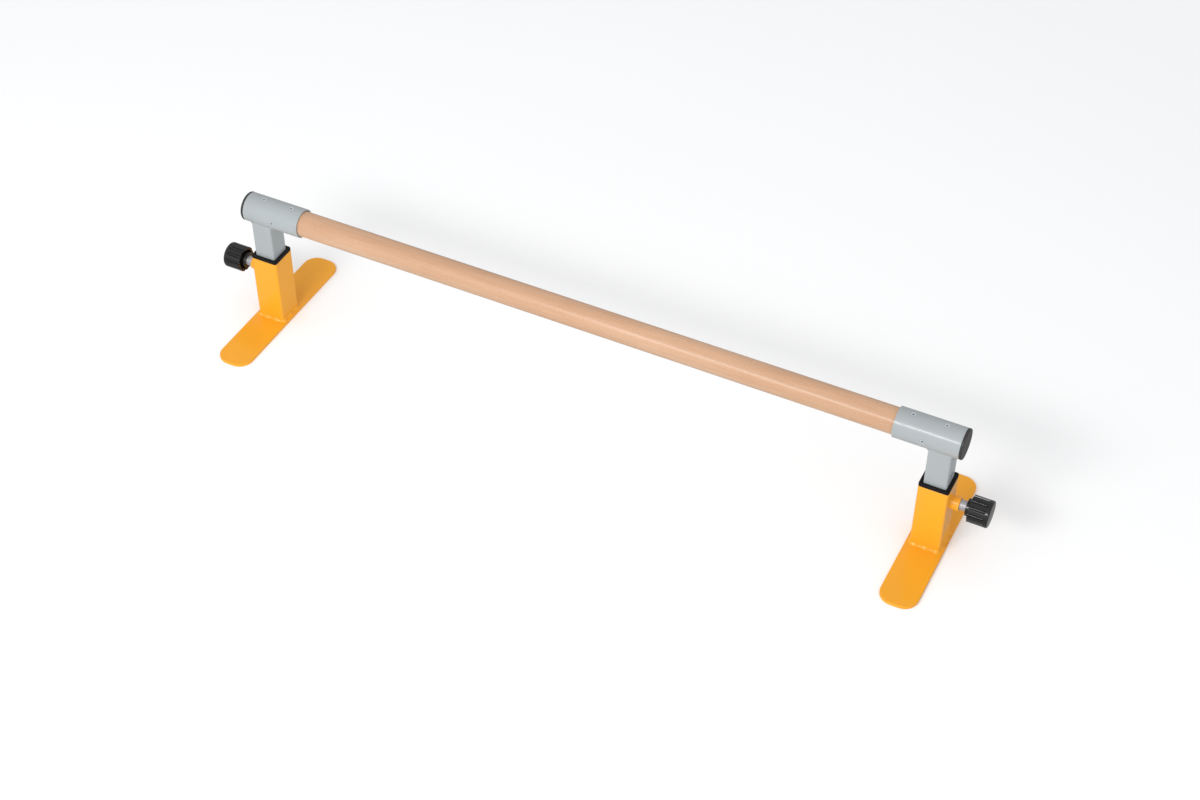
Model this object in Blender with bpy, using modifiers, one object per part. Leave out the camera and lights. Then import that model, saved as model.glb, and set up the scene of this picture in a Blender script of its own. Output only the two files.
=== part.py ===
"""A low floor bar for handstands: a round wooden rail on two height-adjustable feet.

The rail runs along X, Y points to the back and Z up, in metres, with the origin on the floor
midway between the feet. Each end of the rail is screwed into a sleeve. A square post is welded
under the sleeve and slides in the column of a foot, where a sprung pull pin locks it.

The two ends are alike, turned by half a turn about Z. So each piece is modelled once in the
frame of one foot, with local +X (or, for turned pieces, local +Z) pointing outwards from the
column's centre line, and is placed twice. The pins are drawn in the rest pose, with their
tips just clear of the posts, so the rail is free to move up and down.
"""

import math

import bmesh
import bpy
from mathutils import Matrix, Vector

# The whole bar
COLUMN_SPACING = 1.172
RAIL_AXIS_HEIGHT = 0.2175
GAP = 0.0003

# Wooden rail
RAIL_DIAMETER = 0.042
RAIL_CHAMFER = 0.001
RAIL_END_REACH = 0.016

# Sleeve, whose reaches are measured outwards from the column's centre line
SLEEVE_DIAMETER = 0.0483
SLEEVE_WALL = 0.0026
SLEEVE_INNER_REACH = -0.0745
SLEEVE_OUTER_REACH = 0.0285
SLEEVE_EDGE = 0.0004

# End cap
CAP_FLANGE = 0.004
CAP_EDGE = 0.0012
CAP_PLUG_LENGTH = 0.0105
CAP_PLUG_WALL = 0.0026
CAP_FIN_DEPTH = 0.0008
CAP_FIN_COUNT = 2

# Countersunk wood screws
SCREW_LENGTH = 0.02
SCREW_RADIUS = 0.002
SCREW_HEAD_RADIUS = 0.00375
SCREW_TIP_LENGTH = 0.004
SCREW_SINK = 0.0003
SCREW_TOP_REACHES = (0.0, -0.052)
SCREW_SIDE_REACH = -0.027

# Post and its index holes
POST_SIDE = 0.0365
POST_WALL = 0.0025
POST_CORNER = 0.003
POST_BOTTOM = 0.058
INDEX_HOLE_RADIUS = 0.0043
INDEX_PITCH = 0.025
INDEX_STEPS = (-1, 0, 1, 2)
POST_WELD_RADIUS = 0.0036
POST_WELD_STEP = 0.007

# Foot: plate and column
PLATE_LENGTH = 0.300
PLATE_WIDTH = 0.060
PLATE_THICKNESS = 0.005
PLATE_CORNER = 0.0235
PLATE_EDGE = 0.0008
COLUMN_SIDE = 0.048
COLUMN_WALL = 0.0025
COLUMN_CORNER = 0.004
COLUMN_TOP = 0.128
COLUMN_WELD_RADIUS = 0.0042
COLUMN_WELD_STEP = 0.02
WELD_BEND_MARGIN = 0.0008
WELD_PATH_OFFSET = 0.0002

# Guide bush in the column's mouth
BUSH_FLANGE = 0.005
BUSH_SKIRT = 0.060
BUSH_EDGE = 0.0008
BUSH_LEAD_IN = 0.0007

# Pull pin: boss, barrel, pin, spring and knob on one axis
PIN_HEIGHT = 0.0955
PIN_TRAVEL = 0.009
PIN_RADIUS = 0.004
PIN_TIP_RADIUS = 0.003
PIN_TIP_TAPER = 0.0015
PIN_COLLAR_RADIUS = 0.006
PIN_COLLAR_LENGTH = 0.003
PIN_END_REACH = 0.078
BOSS_RADIUS = 0.011
BOSS_LENGTH = 0.0142
BOSS_EDGE = 0.0009
BOSS_WELD = 0.002
BARREL_RADIUS = 0.00825
BARREL_NOSE_REACH = 0.0196
BARREL_END_REACH = 0.060
BARREL_SHOULDER = 0.0074
BARREL_REAR_WALL = 0.004
BARREL_CHAMBER_RADIUS = 0.0063
BARREL_EDGE = 0.0006
RUNNING_CLEARANCE = 0.0003

KNOB_RADIUS = 0.0214
KNOB_HUB_RADIUS = 0.01375
KNOB_HUB_REACH = 0.049
KNOB_BACK_REACH = 0.0545
KNOB_END_REACH = 0.0865
KNOB_EDGE = 0.0024
KNOB_REAR_EDGE = 0.0007
KNOB_DOME = 0.0006
KNOB_BORE_END = 0.070
KNOB_RECESS_RADIUS = 0.0172
KNOB_RECESS_DEPTH = 0.008
FLUTE_COUNT = 12
FLUTE_RADIUS = 0.0031
FLUTE_DEPTH = 0.0019
FLUTE_END_REACH = 0.0815

SPRING_WIRE_RADIUS = 0.0005
SPRING_MEAN_RADIUS = 0.00515
SPRING_TURNS = 6
SPRING_POINTS_PER_TURN = 8

# Worked out from the dimensions above
SLEEVE_RADIUS = SLEEVE_DIAMETER / 2
SLEEVE_BORE_RADIUS = SLEEVE_RADIUS - SLEEVE_WALL
COLUMN_BORE_SIDE = COLUMN_SIDE - 2 * COLUMN_WALL
BUSH_SIDE = COLUMN_BORE_SIDE - 2 * GAP
BUSH_BORE_SIDE = POST_SIDE + 2 * GAP
BARREL_HOLE_RADIUS = BARREL_RADIUS + GAP
POST_FACE_REACH = POST_SIDE / 2

ROUND_STEPS = 36
SMALL_STEPS = 20
SCREW_STEPS = 16
WIRE_RESOLUTION = 1
OVERSHOOT = 0.02
SHARP_ANGLE = math.radians(32)

# Colours are linear, with roughness and metallic value
FINISHES = {
    "lacquered_beech": ((0.72, 0.46, 0.27), 0.32, 0.0),
    "grey_powder_coat": ((0.47, 0.51, 0.52), 0.30, 0.0),
    "yellow_powder_coat": ((1.0, 0.43, 0.03), 0.28, 0.0),
    "black_plastic": ((0.020, 0.020, 0.019), 0.42, 0.0),
    "zinc_steel": ((0.68, 0.68, 0.70), 0.26, 1.0),
    "spring_steel": ((0.45, 0.45, 0.46), 0.30, 1.0),
}


def clear_scene():
    for obj in list(bpy.data.objects):
        bpy.data.objects.remove(obj, do_unlink=True)


def new_collection(name):
    collection = bpy.data.collections.new(name)
    bpy.context.scene.collection.children.link(collection)
    return collection


def make_material(name):
    colour, roughness, metallic = FINISHES[name]
    material = bpy.data.materials.new(name)
    material.use_nodes = True
    shader = material.node_tree.nodes["Principled BSDF"]
    shader.inputs["Base Color"].default_value = (*colour, 1.0)
    shader.inputs["Roughness"].default_value = roughness
    shader.inputs["Metallic"].default_value = metallic
    material.diffuse_color = (*colour, 1.0)
    return material


clear_scene()
PARTS = new_collection("handstand_bar")
CUTTERS = new_collection("handstand_bar_cutters")
MATERIALS = {name: make_material(name) for name in FINISHES}


def new_object(name, mesh, collection):
    obj = bpy.data.objects.new(name, mesh)
    collection.objects.link(obj)
    return obj


def as_cutter(obj):
    obj.hide_render = True
    obj.display_type = "WIRE"
    return obj


def add_boolean(obj, other, operation):
    modifier = obj.modifiers.new(operation.lower() + "_" + other.name, "BOOLEAN")
    modifier.operation = operation
    modifier.solver = "EXACT"
    modifier.object = other


def cut(obj, cutter):
    add_boolean(obj, cutter, "DIFFERENCE")


def turned(name, profile, steps, closed, collection=CUTTERS):
    """A solid of revolution about local Z. The profile of (radius, height) runs down its outer side."""
    mesh = bpy.data.meshes.new(name)
    points = [(radius, 0.0, height) for radius, height in profile]
    edges = [(i, i + 1) for i in range(len(points) - 1)]
    if closed:
        edges.append((len(points) - 1, 0))
    mesh.from_pydata(points, edges, [])
    obj = new_object(name, mesh, collection)
    screw = obj.modifiers.new("turn", "SCREW")
    screw.axis = "Z"
    screw.angle = math.tau
    screw.steps = steps
    screw.render_steps = steps
    screw.use_merge_vertices = True
    screw.merge_threshold = 0.00001
    screw.use_smooth_shade = True
    return obj


def tube_profile(outer, inner, low, high, edge):
    """A plain ring, chamfered on its outer edges, as a closed profile."""
    return [
        (outer - edge, high),
        (outer, high - edge),
        (outer, low + edge),
        (outer - edge, low),
        (inner, low),
        (inner, high),
    ]


def prism(name, side_x, side_y, corner, low, high, edges=(), corner_segments=5):
    """An upright box with rounded corners. Each entry of edges is (height, bevel width)."""
    work = bmesh.new()
    bmesh.ops.create_cube(work, size=1.0)
    bmesh.ops.scale(work, vec=(side_x, side_y, high - low), verts=work.verts)
    bmesh.ops.translate(work, vec=(0.0, 0.0, (high + low) / 2), verts=work.verts)
    upright = [e for e in work.edges if abs(e.verts[0].co.z - e.verts[1].co.z) > 1e-6]
    bmesh.ops.bevel(
        work, geom=upright, offset=corner, segments=corner_segments, profile=0.5, affect="EDGES"
    )
    for height, width in edges:
        rim = [e for e in work.edges if all(abs(v.co.z - height) < 1e-6 for v in e.verts)]
        bmesh.ops.bevel(work, geom=rim, offset=width, segments=2, profile=0.5, affect="EDGES")
    mesh = bpy.data.meshes.new(name)
    work.to_mesh(mesh)
    work.free()
    return new_object(name, mesh, CUTTERS)


def cylinder_cutter(name, radius, start, end, steps=SMALL_STEPS):
    """A plain cylinder from one point to another."""
    start, end = Vector(start), Vector(end)
    work = bmesh.new()
    bmesh.ops.create_cone(
        work, cap_ends=True, segments=steps, radius1=radius, radius2=radius, depth=(end - start).length
    )
    turn = Vector((0.0, 0.0, 1.0)).rotation_difference(end - start).to_matrix().to_4x4()
    bmesh.ops.transform(work, matrix=Matrix.Translation((start + end) / 2) @ turn, verts=work.verts)
    mesh = bpy.data.meshes.new(name)
    work.to_mesh(mesh)
    work.free()
    return as_cutter(new_object(name, mesh, CUTTERS))


def swept_ring(name, points, radius):
    """A closed round bead through the points, as a mesh."""
    curve = bpy.data.curves.new(name, "CURVE")
    curve.dimensions = "3D"
    curve.bevel_depth = radius
    curve.bevel_resolution = WIRE_RESOLUTION
    spline = curve.splines.new("POLY")
    spline.points.add(len(points) - 1)
    for target, point in zip(spline.points, points):
        target.co = (*point, 1.0)
    spline.use_cyclic_u = True
    return curve_to_mesh(new_object(name, curve, CUTTERS))


def curve_to_mesh(curve_object):
    graph = bpy.context.evaluated_depsgraph_get()
    mesh = bpy.data.meshes.new_from_object(curve_object.evaluated_get(graph))
    work = bmesh.new()
    work.from_mesh(mesh)
    bmesh.ops.remove_doubles(work, verts=work.verts, dist=1e-6)
    bmesh.ops.recalc_face_normals(work, faces=work.faces)
    work.to_mesh(mesh)
    work.free()
    name = curve_object.name
    bpy.data.objects.remove(curve_object, do_unlink=True)
    return new_object(name, mesh, CUTTERS)


def rounded_square(side, corner, per_corner):
    """Points (x, y) round a square with rounded corners, anticlockwise."""
    points = []
    centre = side / 2 - corner
    for quarter in range(4):
        start = quarter * math.pi / 2
        middle = start + math.pi / 4
        x = math.copysign(centre, math.cos(middle))
        y = math.copysign(centre, math.sin(middle))
        for step in range(per_corner + 1):
            angle = start + step / per_corner * math.pi / 2
            points.append((x + corner * math.cos(angle), y + corner * math.sin(angle)))
    return points


def spread(points, longest):
    """Adds points to a closed outline until no side is longer than the given length."""
    result = []
    for (x0, y0), (x1, y1) in zip(points, points[1:] + points[:1]):
        count = max(1, math.ceil(math.hypot(x1 - x0, y1 - y0) / longest))
        result += [(x0 + (x1 - x0) * k / count, y0 + (y1 - y0) * k / count) for k in range(count)]
    return result


def finished_mesh(obj, finish):
    """The object's evaluated mesh, shaded smooth with its real edges kept sharp."""
    graph = bpy.context.evaluated_depsgraph_get()
    graph.update()
    mesh = bpy.data.meshes.new_from_object(obj.evaluated_get(graph))
    mesh.name = obj.name
    bpy.data.objects.remove(obj, do_unlink=True)
    mesh.shade_smooth()
    mesh.set_sharp_from_angle(angle=SHARP_ANGLE)
    mesh.materials.clear()
    mesh.materials.append(MATERIALS[finish])
    return mesh


def place(name, mesh, parent, location=(0.0, 0.0, 0.0), rotation=(0.0, 0.0, 0.0)):
    obj = new_object(name, mesh, PARTS)
    obj.parent = parent
    obj.location = location
    obj.rotation_euler = rotation
    return obj


def add_frame(name, location, rotation=(0.0, 0.0, 0.0)):
    empty = new_object(name, None, PARTS)
    empty.empty_display_size = 0.02
    empty.location = location
    empty.rotation_euler = rotation
    return empty


def screw_profile(grow):
    """The countersunk screw as a profile from its tip's end up. grow widens it into its clearance hole."""
    head = SCREW_HEAD_RADIUS + grow
    shank = SCREW_RADIUS + grow
    top = SLEEVE_RADIUS if grow else -SCREW_SINK
    head_top = -SCREW_SINK
    neck = head_top - (SCREW_HEAD_RADIUS - SCREW_RADIUS)
    low = head_top - SCREW_LENGTH - grow
    profile = [(0.0, top)]
    if grow:
        profile.append((head, top))
    profile += [(head, head_top), (shank, neck), (shank, low + SCREW_TIP_LENGTH), (0.0, low)]
    return profile


def screw_places():
    """(name, reach, angle about the rail) of each screw of one sleeve: two on top, one on each side."""
    places = []
    for label, reach in zip(("outer", "inner"), SCREW_TOP_REACHES):
        places.append((label + "_top", reach, 0.0))
    places.append(("front", SCREW_SIDE_REACH, math.pi / 2))
    places.append(("rear", SCREW_SIDE_REACH, -math.pi / 2))
    return places


def screw_matrix(reach, angle):
    """From the screw's own frame to one whose X is the rail's axis."""
    turn = Matrix.Rotation(angle, 4, "X")
    return Matrix.Translation((reach, 0.0, 0.0)) @ turn @ Matrix.Translation((0.0, 0.0, SLEEVE_RADIUS))


def screw_cutter(name, matrix):
    """One clearance hole with its countersink, on the rail's axis frame."""
    hole = turned(name, screw_profile(GAP), SCREW_STEPS, closed=False)
    hole.matrix_world = matrix
    return as_cutter(hole)


def make_rail():
    half = COLUMN_SPACING / 2 + RAIL_END_REACH
    radius = RAIL_DIAMETER / 2
    profile = [
        (0.0, half),
        (radius - RAIL_CHAMFER, half),
        (radius, half - RAIL_CHAMFER),
        (radius, RAIL_CHAMFER - half),
        (radius - RAIL_CHAMFER, -half),
        (0.0, -half),
    ]
    rail = turned("rail", profile, ROUND_STEPS, closed=False)
    to_turning_frame = Matrix.Rotation(-math.pi / 2, 4, "Y")
    for side in (-1, 1):
        foot = Matrix.Translation((side * COLUMN_SPACING / 2, 0.0, 0.0))
        foot = foot @ Matrix.Rotation(math.pi if side < 0 else 0.0, 4, "Z")
        for label, reach, angle in screw_places():
            matrix = to_turning_frame @ foot @ screw_matrix(reach, angle)
            cut(rail, screw_cutter(f"rail_hole_{label}_{side}", matrix))
    return finished_mesh(rail, "lacquered_beech")


def make_sleeve():
    profile = tube_profile(
        SLEEVE_RADIUS, SLEEVE_BORE_RADIUS, SLEEVE_INNER_REACH, SLEEVE_OUTER_REACH, SLEEVE_EDGE
    )
    sleeve = turned("sleeve", profile, ROUND_STEPS, closed=True)
    to_turning_frame = Matrix.Rotation(-math.pi / 2, 4, "Y")
    for label, reach, angle in screw_places():
        matrix = to_turning_frame @ screw_matrix(reach, angle)
        cut(sleeve, screw_cutter(f"sleeve_hole_{label}", matrix))
    return finished_mesh(sleeve, "grey_powder_coat")


def make_end_cap():
    """A flange as wide as the sleeve, and behind it a hollow plug with soft fins that grip the bore."""
    face = SLEEVE_OUTER_REACH + GAP + CAP_FLANGE
    back = SLEEVE_OUTER_REACH + GAP
    plug = SLEEVE_BORE_RADIUS - GAP
    inner = plug - CAP_PLUG_WALL
    end = back - CAP_PLUG_LENGTH
    profile = [(0.0, face)]
    for step in range(4):
        angle = step / 3 * math.pi / 2
        radius = SLEEVE_RADIUS - CAP_EDGE * (1 - math.sin(angle))
        profile.append((radius, face - CAP_EDGE * (1 - math.cos(angle))))
    profile += [(SLEEVE_RADIUS, back), (plug - CAP_FIN_DEPTH, back)]
    pitch = CAP_PLUG_LENGTH / (CAP_FIN_COUNT + 0.5)
    for fin in range(CAP_FIN_COUNT):
        top = back - (fin + 0.5) * pitch
        profile += [(plug - CAP_FIN_DEPTH, top), (plug, top - 0.2 * pitch)]
        profile.append((plug - CAP_FIN_DEPTH, top - 0.7 * pitch))
    profile += [(plug - CAP_FIN_DEPTH, end), (inner, end), (inner, back), (0.0, back)]
    return finished_mesh(turned("end_cap", profile, ROUND_STEPS, closed=False), "black_plastic")


def make_screw():
    return finished_mesh(turned("screw", screw_profile(0.0), SCREW_STEPS, closed=False), "zinc_steel")


def saddle_points(side, corner, sleeve_radius):
    """Points round a square post where it meets a sleeve lying across it."""
    outline = spread(rounded_square(side, corner, 2), POST_WELD_STEP)
    return [(x, y, RAIL_AXIS_HEIGHT - math.sqrt(sleeve_radius**2 - y**2)) for x, y in outline]


def make_post():
    """A square tube, coped to the sleeve, with the weld bead round the joint and the index holes."""
    post = prism("post", POST_SIDE, POST_SIDE, POST_CORNER, POST_BOTTOM, RAIL_AXIS_HEIGHT)
    bend = POST_WELD_RADIUS + WELD_BEND_MARGIN
    bead = swept_ring(
        "post_weld", saddle_points(POST_SIDE + 2 * WELD_PATH_OFFSET, bend, SLEEVE_RADIUS), POST_WELD_RADIUS
    )
    add_boolean(post, as_cutter(bead), "UNION")
    bore_side = POST_SIDE - 2 * POST_WALL
    bore = prism(
        "post_bore", bore_side, bore_side, POST_CORNER - POST_WALL / 2, 0.0,
        RAIL_AXIS_HEIGHT + OVERSHOOT, corner_segments=3,
    )
    cut(post, as_cutter(bore))
    start, end = (-COLUMN_SIDE, 0.0, RAIL_AXIS_HEIGHT), (COLUMN_SIDE, 0.0, RAIL_AXIS_HEIGHT)
    saddle = cylinder_cutter("post_saddle", SLEEVE_RADIUS + GAP, start, end, ROUND_STEPS)
    cut(post, saddle)
    for step in INDEX_STEPS:
        height = PIN_HEIGHT + step * INDEX_PITCH
        start, end = (POST_FACE_REACH / 2, 0.0, height), (COLUMN_SIDE, 0.0, height)
        cut(post, cylinder_cutter(f"index_hole_{step}", INDEX_HOLE_RADIUS, start, end, SCREW_STEPS))
    return finished_mesh(post, "grey_powder_coat")


def make_base_plate():
    plate = prism(
        "base_plate", PLATE_WIDTH, PLATE_LENGTH, PLATE_CORNER, 0.0, PLATE_THICKNESS,
        edges=((PLATE_THICKNESS, PLATE_EDGE), (0.0, PLATE_EDGE)), corner_segments=10,
    )
    return finished_mesh(plate, "yellow_powder_coat")


def make_column():
    """A square tube with the weld bead round its foot and a hole for the pull pin's barrel."""
    low = PLATE_THICKNESS + GAP
    uncut_low = low - 2 * COLUMN_WELD_RADIUS
    column = prism("column", COLUMN_SIDE, COLUMN_SIDE, COLUMN_CORNER, uncut_low, COLUMN_TOP)
    bend = COLUMN_WELD_RADIUS + WELD_BEND_MARGIN
    outline = spread(rounded_square(COLUMN_SIDE + 2 * WELD_PATH_OFFSET, bend, 3), COLUMN_WELD_STEP)
    bead = swept_ring("column_weld", [(x, y, low) for x, y in outline], COLUMN_WELD_RADIUS)
    add_boolean(column, as_cutter(bead), "UNION")
    bore = prism(
        "column_bore", COLUMN_BORE_SIDE, COLUMN_BORE_SIDE, COLUMN_CORNER - COLUMN_WALL, -OVERSHOOT,
        COLUMN_TOP + OVERSHOOT, corner_segments=3,
    )
    cut(column, as_cutter(bore))
    below_side = 2 * COLUMN_SIDE
    below = prism(
        "column_underside", below_side, below_side, COLUMN_CORNER, low - OVERSHOOT, low, corner_segments=1
    )
    cut(column, as_cutter(below))
    start, end = (COLUMN_SIDE / 4, 0.0, PIN_HEIGHT), (COLUMN_SIDE, 0.0, PIN_HEIGHT)
    cut(column, cylinder_cutter("column_pin_hole", BARREL_HOLE_RADIUS, start, end))
    return finished_mesh(column, "yellow_powder_coat")


def make_guide_bush():
    """A plastic sleeve in the column, with a flange over its mouth, in which the post slides."""
    low = COLUMN_TOP + GAP
    high = low + BUSH_FLANGE
    bush = prism(
        "guide_bush", COLUMN_SIDE, COLUMN_SIDE, COLUMN_CORNER, low, high, edges=((high, BUSH_EDGE),)
    )
    skirt = prism(
        "bush_skirt", BUSH_SIDE, BUSH_SIDE, COLUMN_CORNER - COLUMN_WALL, low - BUSH_SKIRT,
        low + BUSH_FLANGE / 2, corner_segments=3,
    )
    add_boolean(bush, as_cutter(skirt), "UNION")
    bore = prism(
        "bush_bore", BUSH_BORE_SIDE, BUSH_BORE_SIDE, POST_CORNER, low - BUSH_SKIRT - OVERSHOOT,
        high + OVERSHOOT,
    )
    cut(bush, as_cutter(bore))
    mouth_side = BUSH_BORE_SIDE + 4 * BUSH_LEAD_IN
    mouth = prism(
        "bush_lead_in", mouth_side, mouth_side, POST_CORNER, high - BUSH_LEAD_IN,
        high + BUSH_LEAD_IN, edges=((high - BUSH_LEAD_IN, 2 * BUSH_LEAD_IN * 0.99),),
    )
    cut(bush, as_cutter(mouth))
    start, end = (COLUMN_SIDE / 4, 0.0, PIN_HEIGHT), (COLUMN_SIDE, 0.0, PIN_HEIGHT)
    cut(bush, cylinder_cutter("bush_pin_hole", BARREL_HOLE_RADIUS, start, end))
    return finished_mesh(bush, "black_plastic")


def make_boss():
    """The ring that the pull pin screws into, with the hollow weld fillet that joins it to the column."""
    low = COLUMN_SIDE / 2 + GAP
    high = low + BOSS_LENGTH
    profile = [(BOSS_RADIUS - BOSS_EDGE, high), (BOSS_RADIUS, high - BOSS_EDGE)]
    for step in range(4):
        angle = step / 3 * math.pi / 2
        radius = BOSS_RADIUS + BOSS_WELD * (1 - math.cos(angle))
        profile.append((radius, low + BOSS_WELD * (1 - math.sin(angle))))
    profile += [(BARREL_HOLE_RADIUS, low), (BARREL_HOLE_RADIUS, high)]
    return finished_mesh(turned("plunger_boss", profile, SMALL_STEPS, closed=True), "yellow_powder_coat")


def make_barrel():
    """The pull pin's body, hollow for the spring, with a bore for the pin at each end."""
    bore = PIN_RADIUS + RUNNING_CLEARANCE
    chamber_low = BARREL_NOSE_REACH + BARREL_SHOULDER
    chamber_high = BARREL_END_REACH - BARREL_REAR_WALL
    profile = [
        (BARREL_RADIUS - BARREL_EDGE, BARREL_END_REACH),
        (BARREL_RADIUS, BARREL_END_REACH - BARREL_EDGE),
        (BARREL_RADIUS, BARREL_NOSE_REACH + BARREL_EDGE),
        (BARREL_RADIUS - BARREL_EDGE, BARREL_NOSE_REACH),
        (bore, BARREL_NOSE_REACH),
        (bore, chamber_low),
        (BARREL_CHAMBER_RADIUS, chamber_low),
        (BARREL_CHAMBER_RADIUS, chamber_high),
        (bore, chamber_high),
        (bore, BARREL_END_REACH),
    ]
    return finished_mesh(turned("plunger_barrel", profile, SMALL_STEPS, closed=True), "zinc_steel")


def pin_collar_low():
    """The collar's inner face in the rest pose: it meets the barrel's shoulder when the pin is home."""
    return BARREL_NOSE_REACH + BARREL_SHOULDER + GAP + PIN_TRAVEL


def make_pin():
    tip = POST_FACE_REACH + GAP
    collar = pin_collar_low()
    profile = [
        (0.0, PIN_END_REACH),
        (PIN_RADIUS, PIN_END_REACH),
        (PIN_RADIUS, collar + PIN_COLLAR_LENGTH),
        (PIN_COLLAR_RADIUS, collar + PIN_COLLAR_LENGTH),
        (PIN_COLLAR_RADIUS, collar),
        (PIN_RADIUS, collar),
        (PIN_RADIUS, tip + PIN_TIP_TAPER),
        (PIN_TIP_RADIUS, tip),
        (0.0, tip),
    ]
    return finished_mesh(turned("plunger_pin", profile, SMALL_STEPS, closed=False), "zinc_steel")


def spring_points():
    """The wire's centre line, from the pin's collar to the chamber's rear wall."""
    low = pin_collar_low() + PIN_COLLAR_LENGTH + GAP + SPRING_WIRE_RADIUS
    high = BARREL_END_REACH - BARREL_REAR_WALL - GAP - SPRING_WIRE_RADIUS
    count = round(SPRING_TURNS * SPRING_POINTS_PER_TURN)
    points = []
    for step in range(count + 1):
        angle = step / SPRING_POINTS_PER_TURN * math.tau
        x, y = SPRING_MEAN_RADIUS * math.cos(angle), SPRING_MEAN_RADIUS * math.sin(angle)
        points.append(Vector((x, y, low + (high - low) * step / count)))
    return points


def least_coil_gap(points):
    """The least clear distance between a curl and the next one."""
    apart = SPRING_POINTS_PER_TURN
    near = [
        (points[i] - points[j]).length
        for i in range(len(points))
        for j in range(i + apart - 2, min(i + apart + 3, len(points)))
    ]
    return min(near) - 2 * SPRING_WIRE_RADIUS


def make_spring():
    points = spring_points()
    print(f"plunger spring: least gap between curls {least_coil_gap(points) * 1000:.2f} mm")
    curve = bpy.data.curves.new("plunger_spring", "CURVE")
    curve.dimensions = "3D"
    curve.bevel_depth = SPRING_WIRE_RADIUS
    curve.bevel_resolution = WIRE_RESOLUTION
    curve.use_fill_caps = True
    spline = curve.splines.new("POLY")
    spline.points.add(len(points) - 1)
    for target, point in zip(spline.points, points):
        target.co = (*point, 1.0)
    return finished_mesh(curve_to_mesh(new_object("plunger_spring", curve, CUTTERS)), "spring_steel")


def flute_cutter():
    """All the flutes of the knob as round-ended rods, laid round its rim."""
    work = bmesh.new()
    low = KNOB_BACK_REACH - OVERSHOOT
    centre = KNOB_RADIUS - FLUTE_DEPTH + FLUTE_RADIUS
    for flute in range(FLUTE_COUNT):
        angle = (flute + 0.5) / FLUTE_COUNT * math.tau
        shift = Matrix.Translation((centre * math.cos(angle), centre * math.sin(angle), 0.0))
        rod = bmesh.ops.create_cone(
            work, cap_ends=True, segments=14, radius1=FLUTE_RADIUS, radius2=FLUTE_RADIUS,
            depth=FLUTE_END_REACH - low,
            matrix=shift @ Matrix.Translation((0.0, 0.0, (FLUTE_END_REACH + low) / 2)),
        )
        end_rim = [
            e
            for e in {edge for vert in rod["verts"] for edge in vert.link_edges}
            if all(abs(v.co.z - FLUTE_END_REACH) < 1e-6 for v in e.verts)
        ]
        bmesh.ops.bevel(
            work, geom=end_rim, offset=0.6 * FLUTE_RADIUS, segments=2, profile=0.5, affect="EDGES"
        )
    mesh = bpy.data.meshes.new("knob_flutes")
    work.to_mesh(mesh)
    work.free()
    return as_cutter(new_object("knob_flutes", mesh, CUTTERS))


def make_knob():
    """A fluted knob, cored out behind, whose hub slides over the barrel and holds the pin."""
    recess_end = KNOB_BACK_REACH + KNOB_RECESS_DEPTH
    seat = PIN_RADIUS + GAP
    barrel_bore = BARREL_RADIUS + RUNNING_CLEARANCE
    profile = [(0.0, KNOB_END_REACH + KNOB_DOME), (0.5 * KNOB_RADIUS, KNOB_END_REACH + 0.75 * KNOB_DOME)]
    for step in range(5):
        angle = step / 4 * math.pi / 2
        radius = KNOB_RADIUS - KNOB_EDGE * (1 - math.sin(angle))
        profile.append((radius, KNOB_END_REACH - KNOB_EDGE * (1 - math.cos(angle))))
    profile += [
        (KNOB_RADIUS, KNOB_BACK_REACH + KNOB_REAR_EDGE),
        (KNOB_RADIUS - KNOB_REAR_EDGE, KNOB_BACK_REACH),
        (KNOB_RECESS_RADIUS, KNOB_BACK_REACH),
        (KNOB_RECESS_RADIUS, recess_end),
        (KNOB_HUB_RADIUS, recess_end),
        (KNOB_HUB_RADIUS, KNOB_HUB_REACH + KNOB_REAR_EDGE),
        (KNOB_HUB_RADIUS - KNOB_REAR_EDGE, KNOB_HUB_REACH),
        (barrel_bore, KNOB_HUB_REACH),
        (barrel_bore, KNOB_BORE_END),
        (seat, KNOB_BORE_END),
        (seat, PIN_END_REACH + GAP),
        (0.0, PIN_END_REACH + GAP),
    ]
    knob = turned("pull_knob", profile, ROUND_STEPS, closed=False)
    cut(knob, flute_cutter())
    return finished_mesh(knob, "black_plastic")


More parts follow.
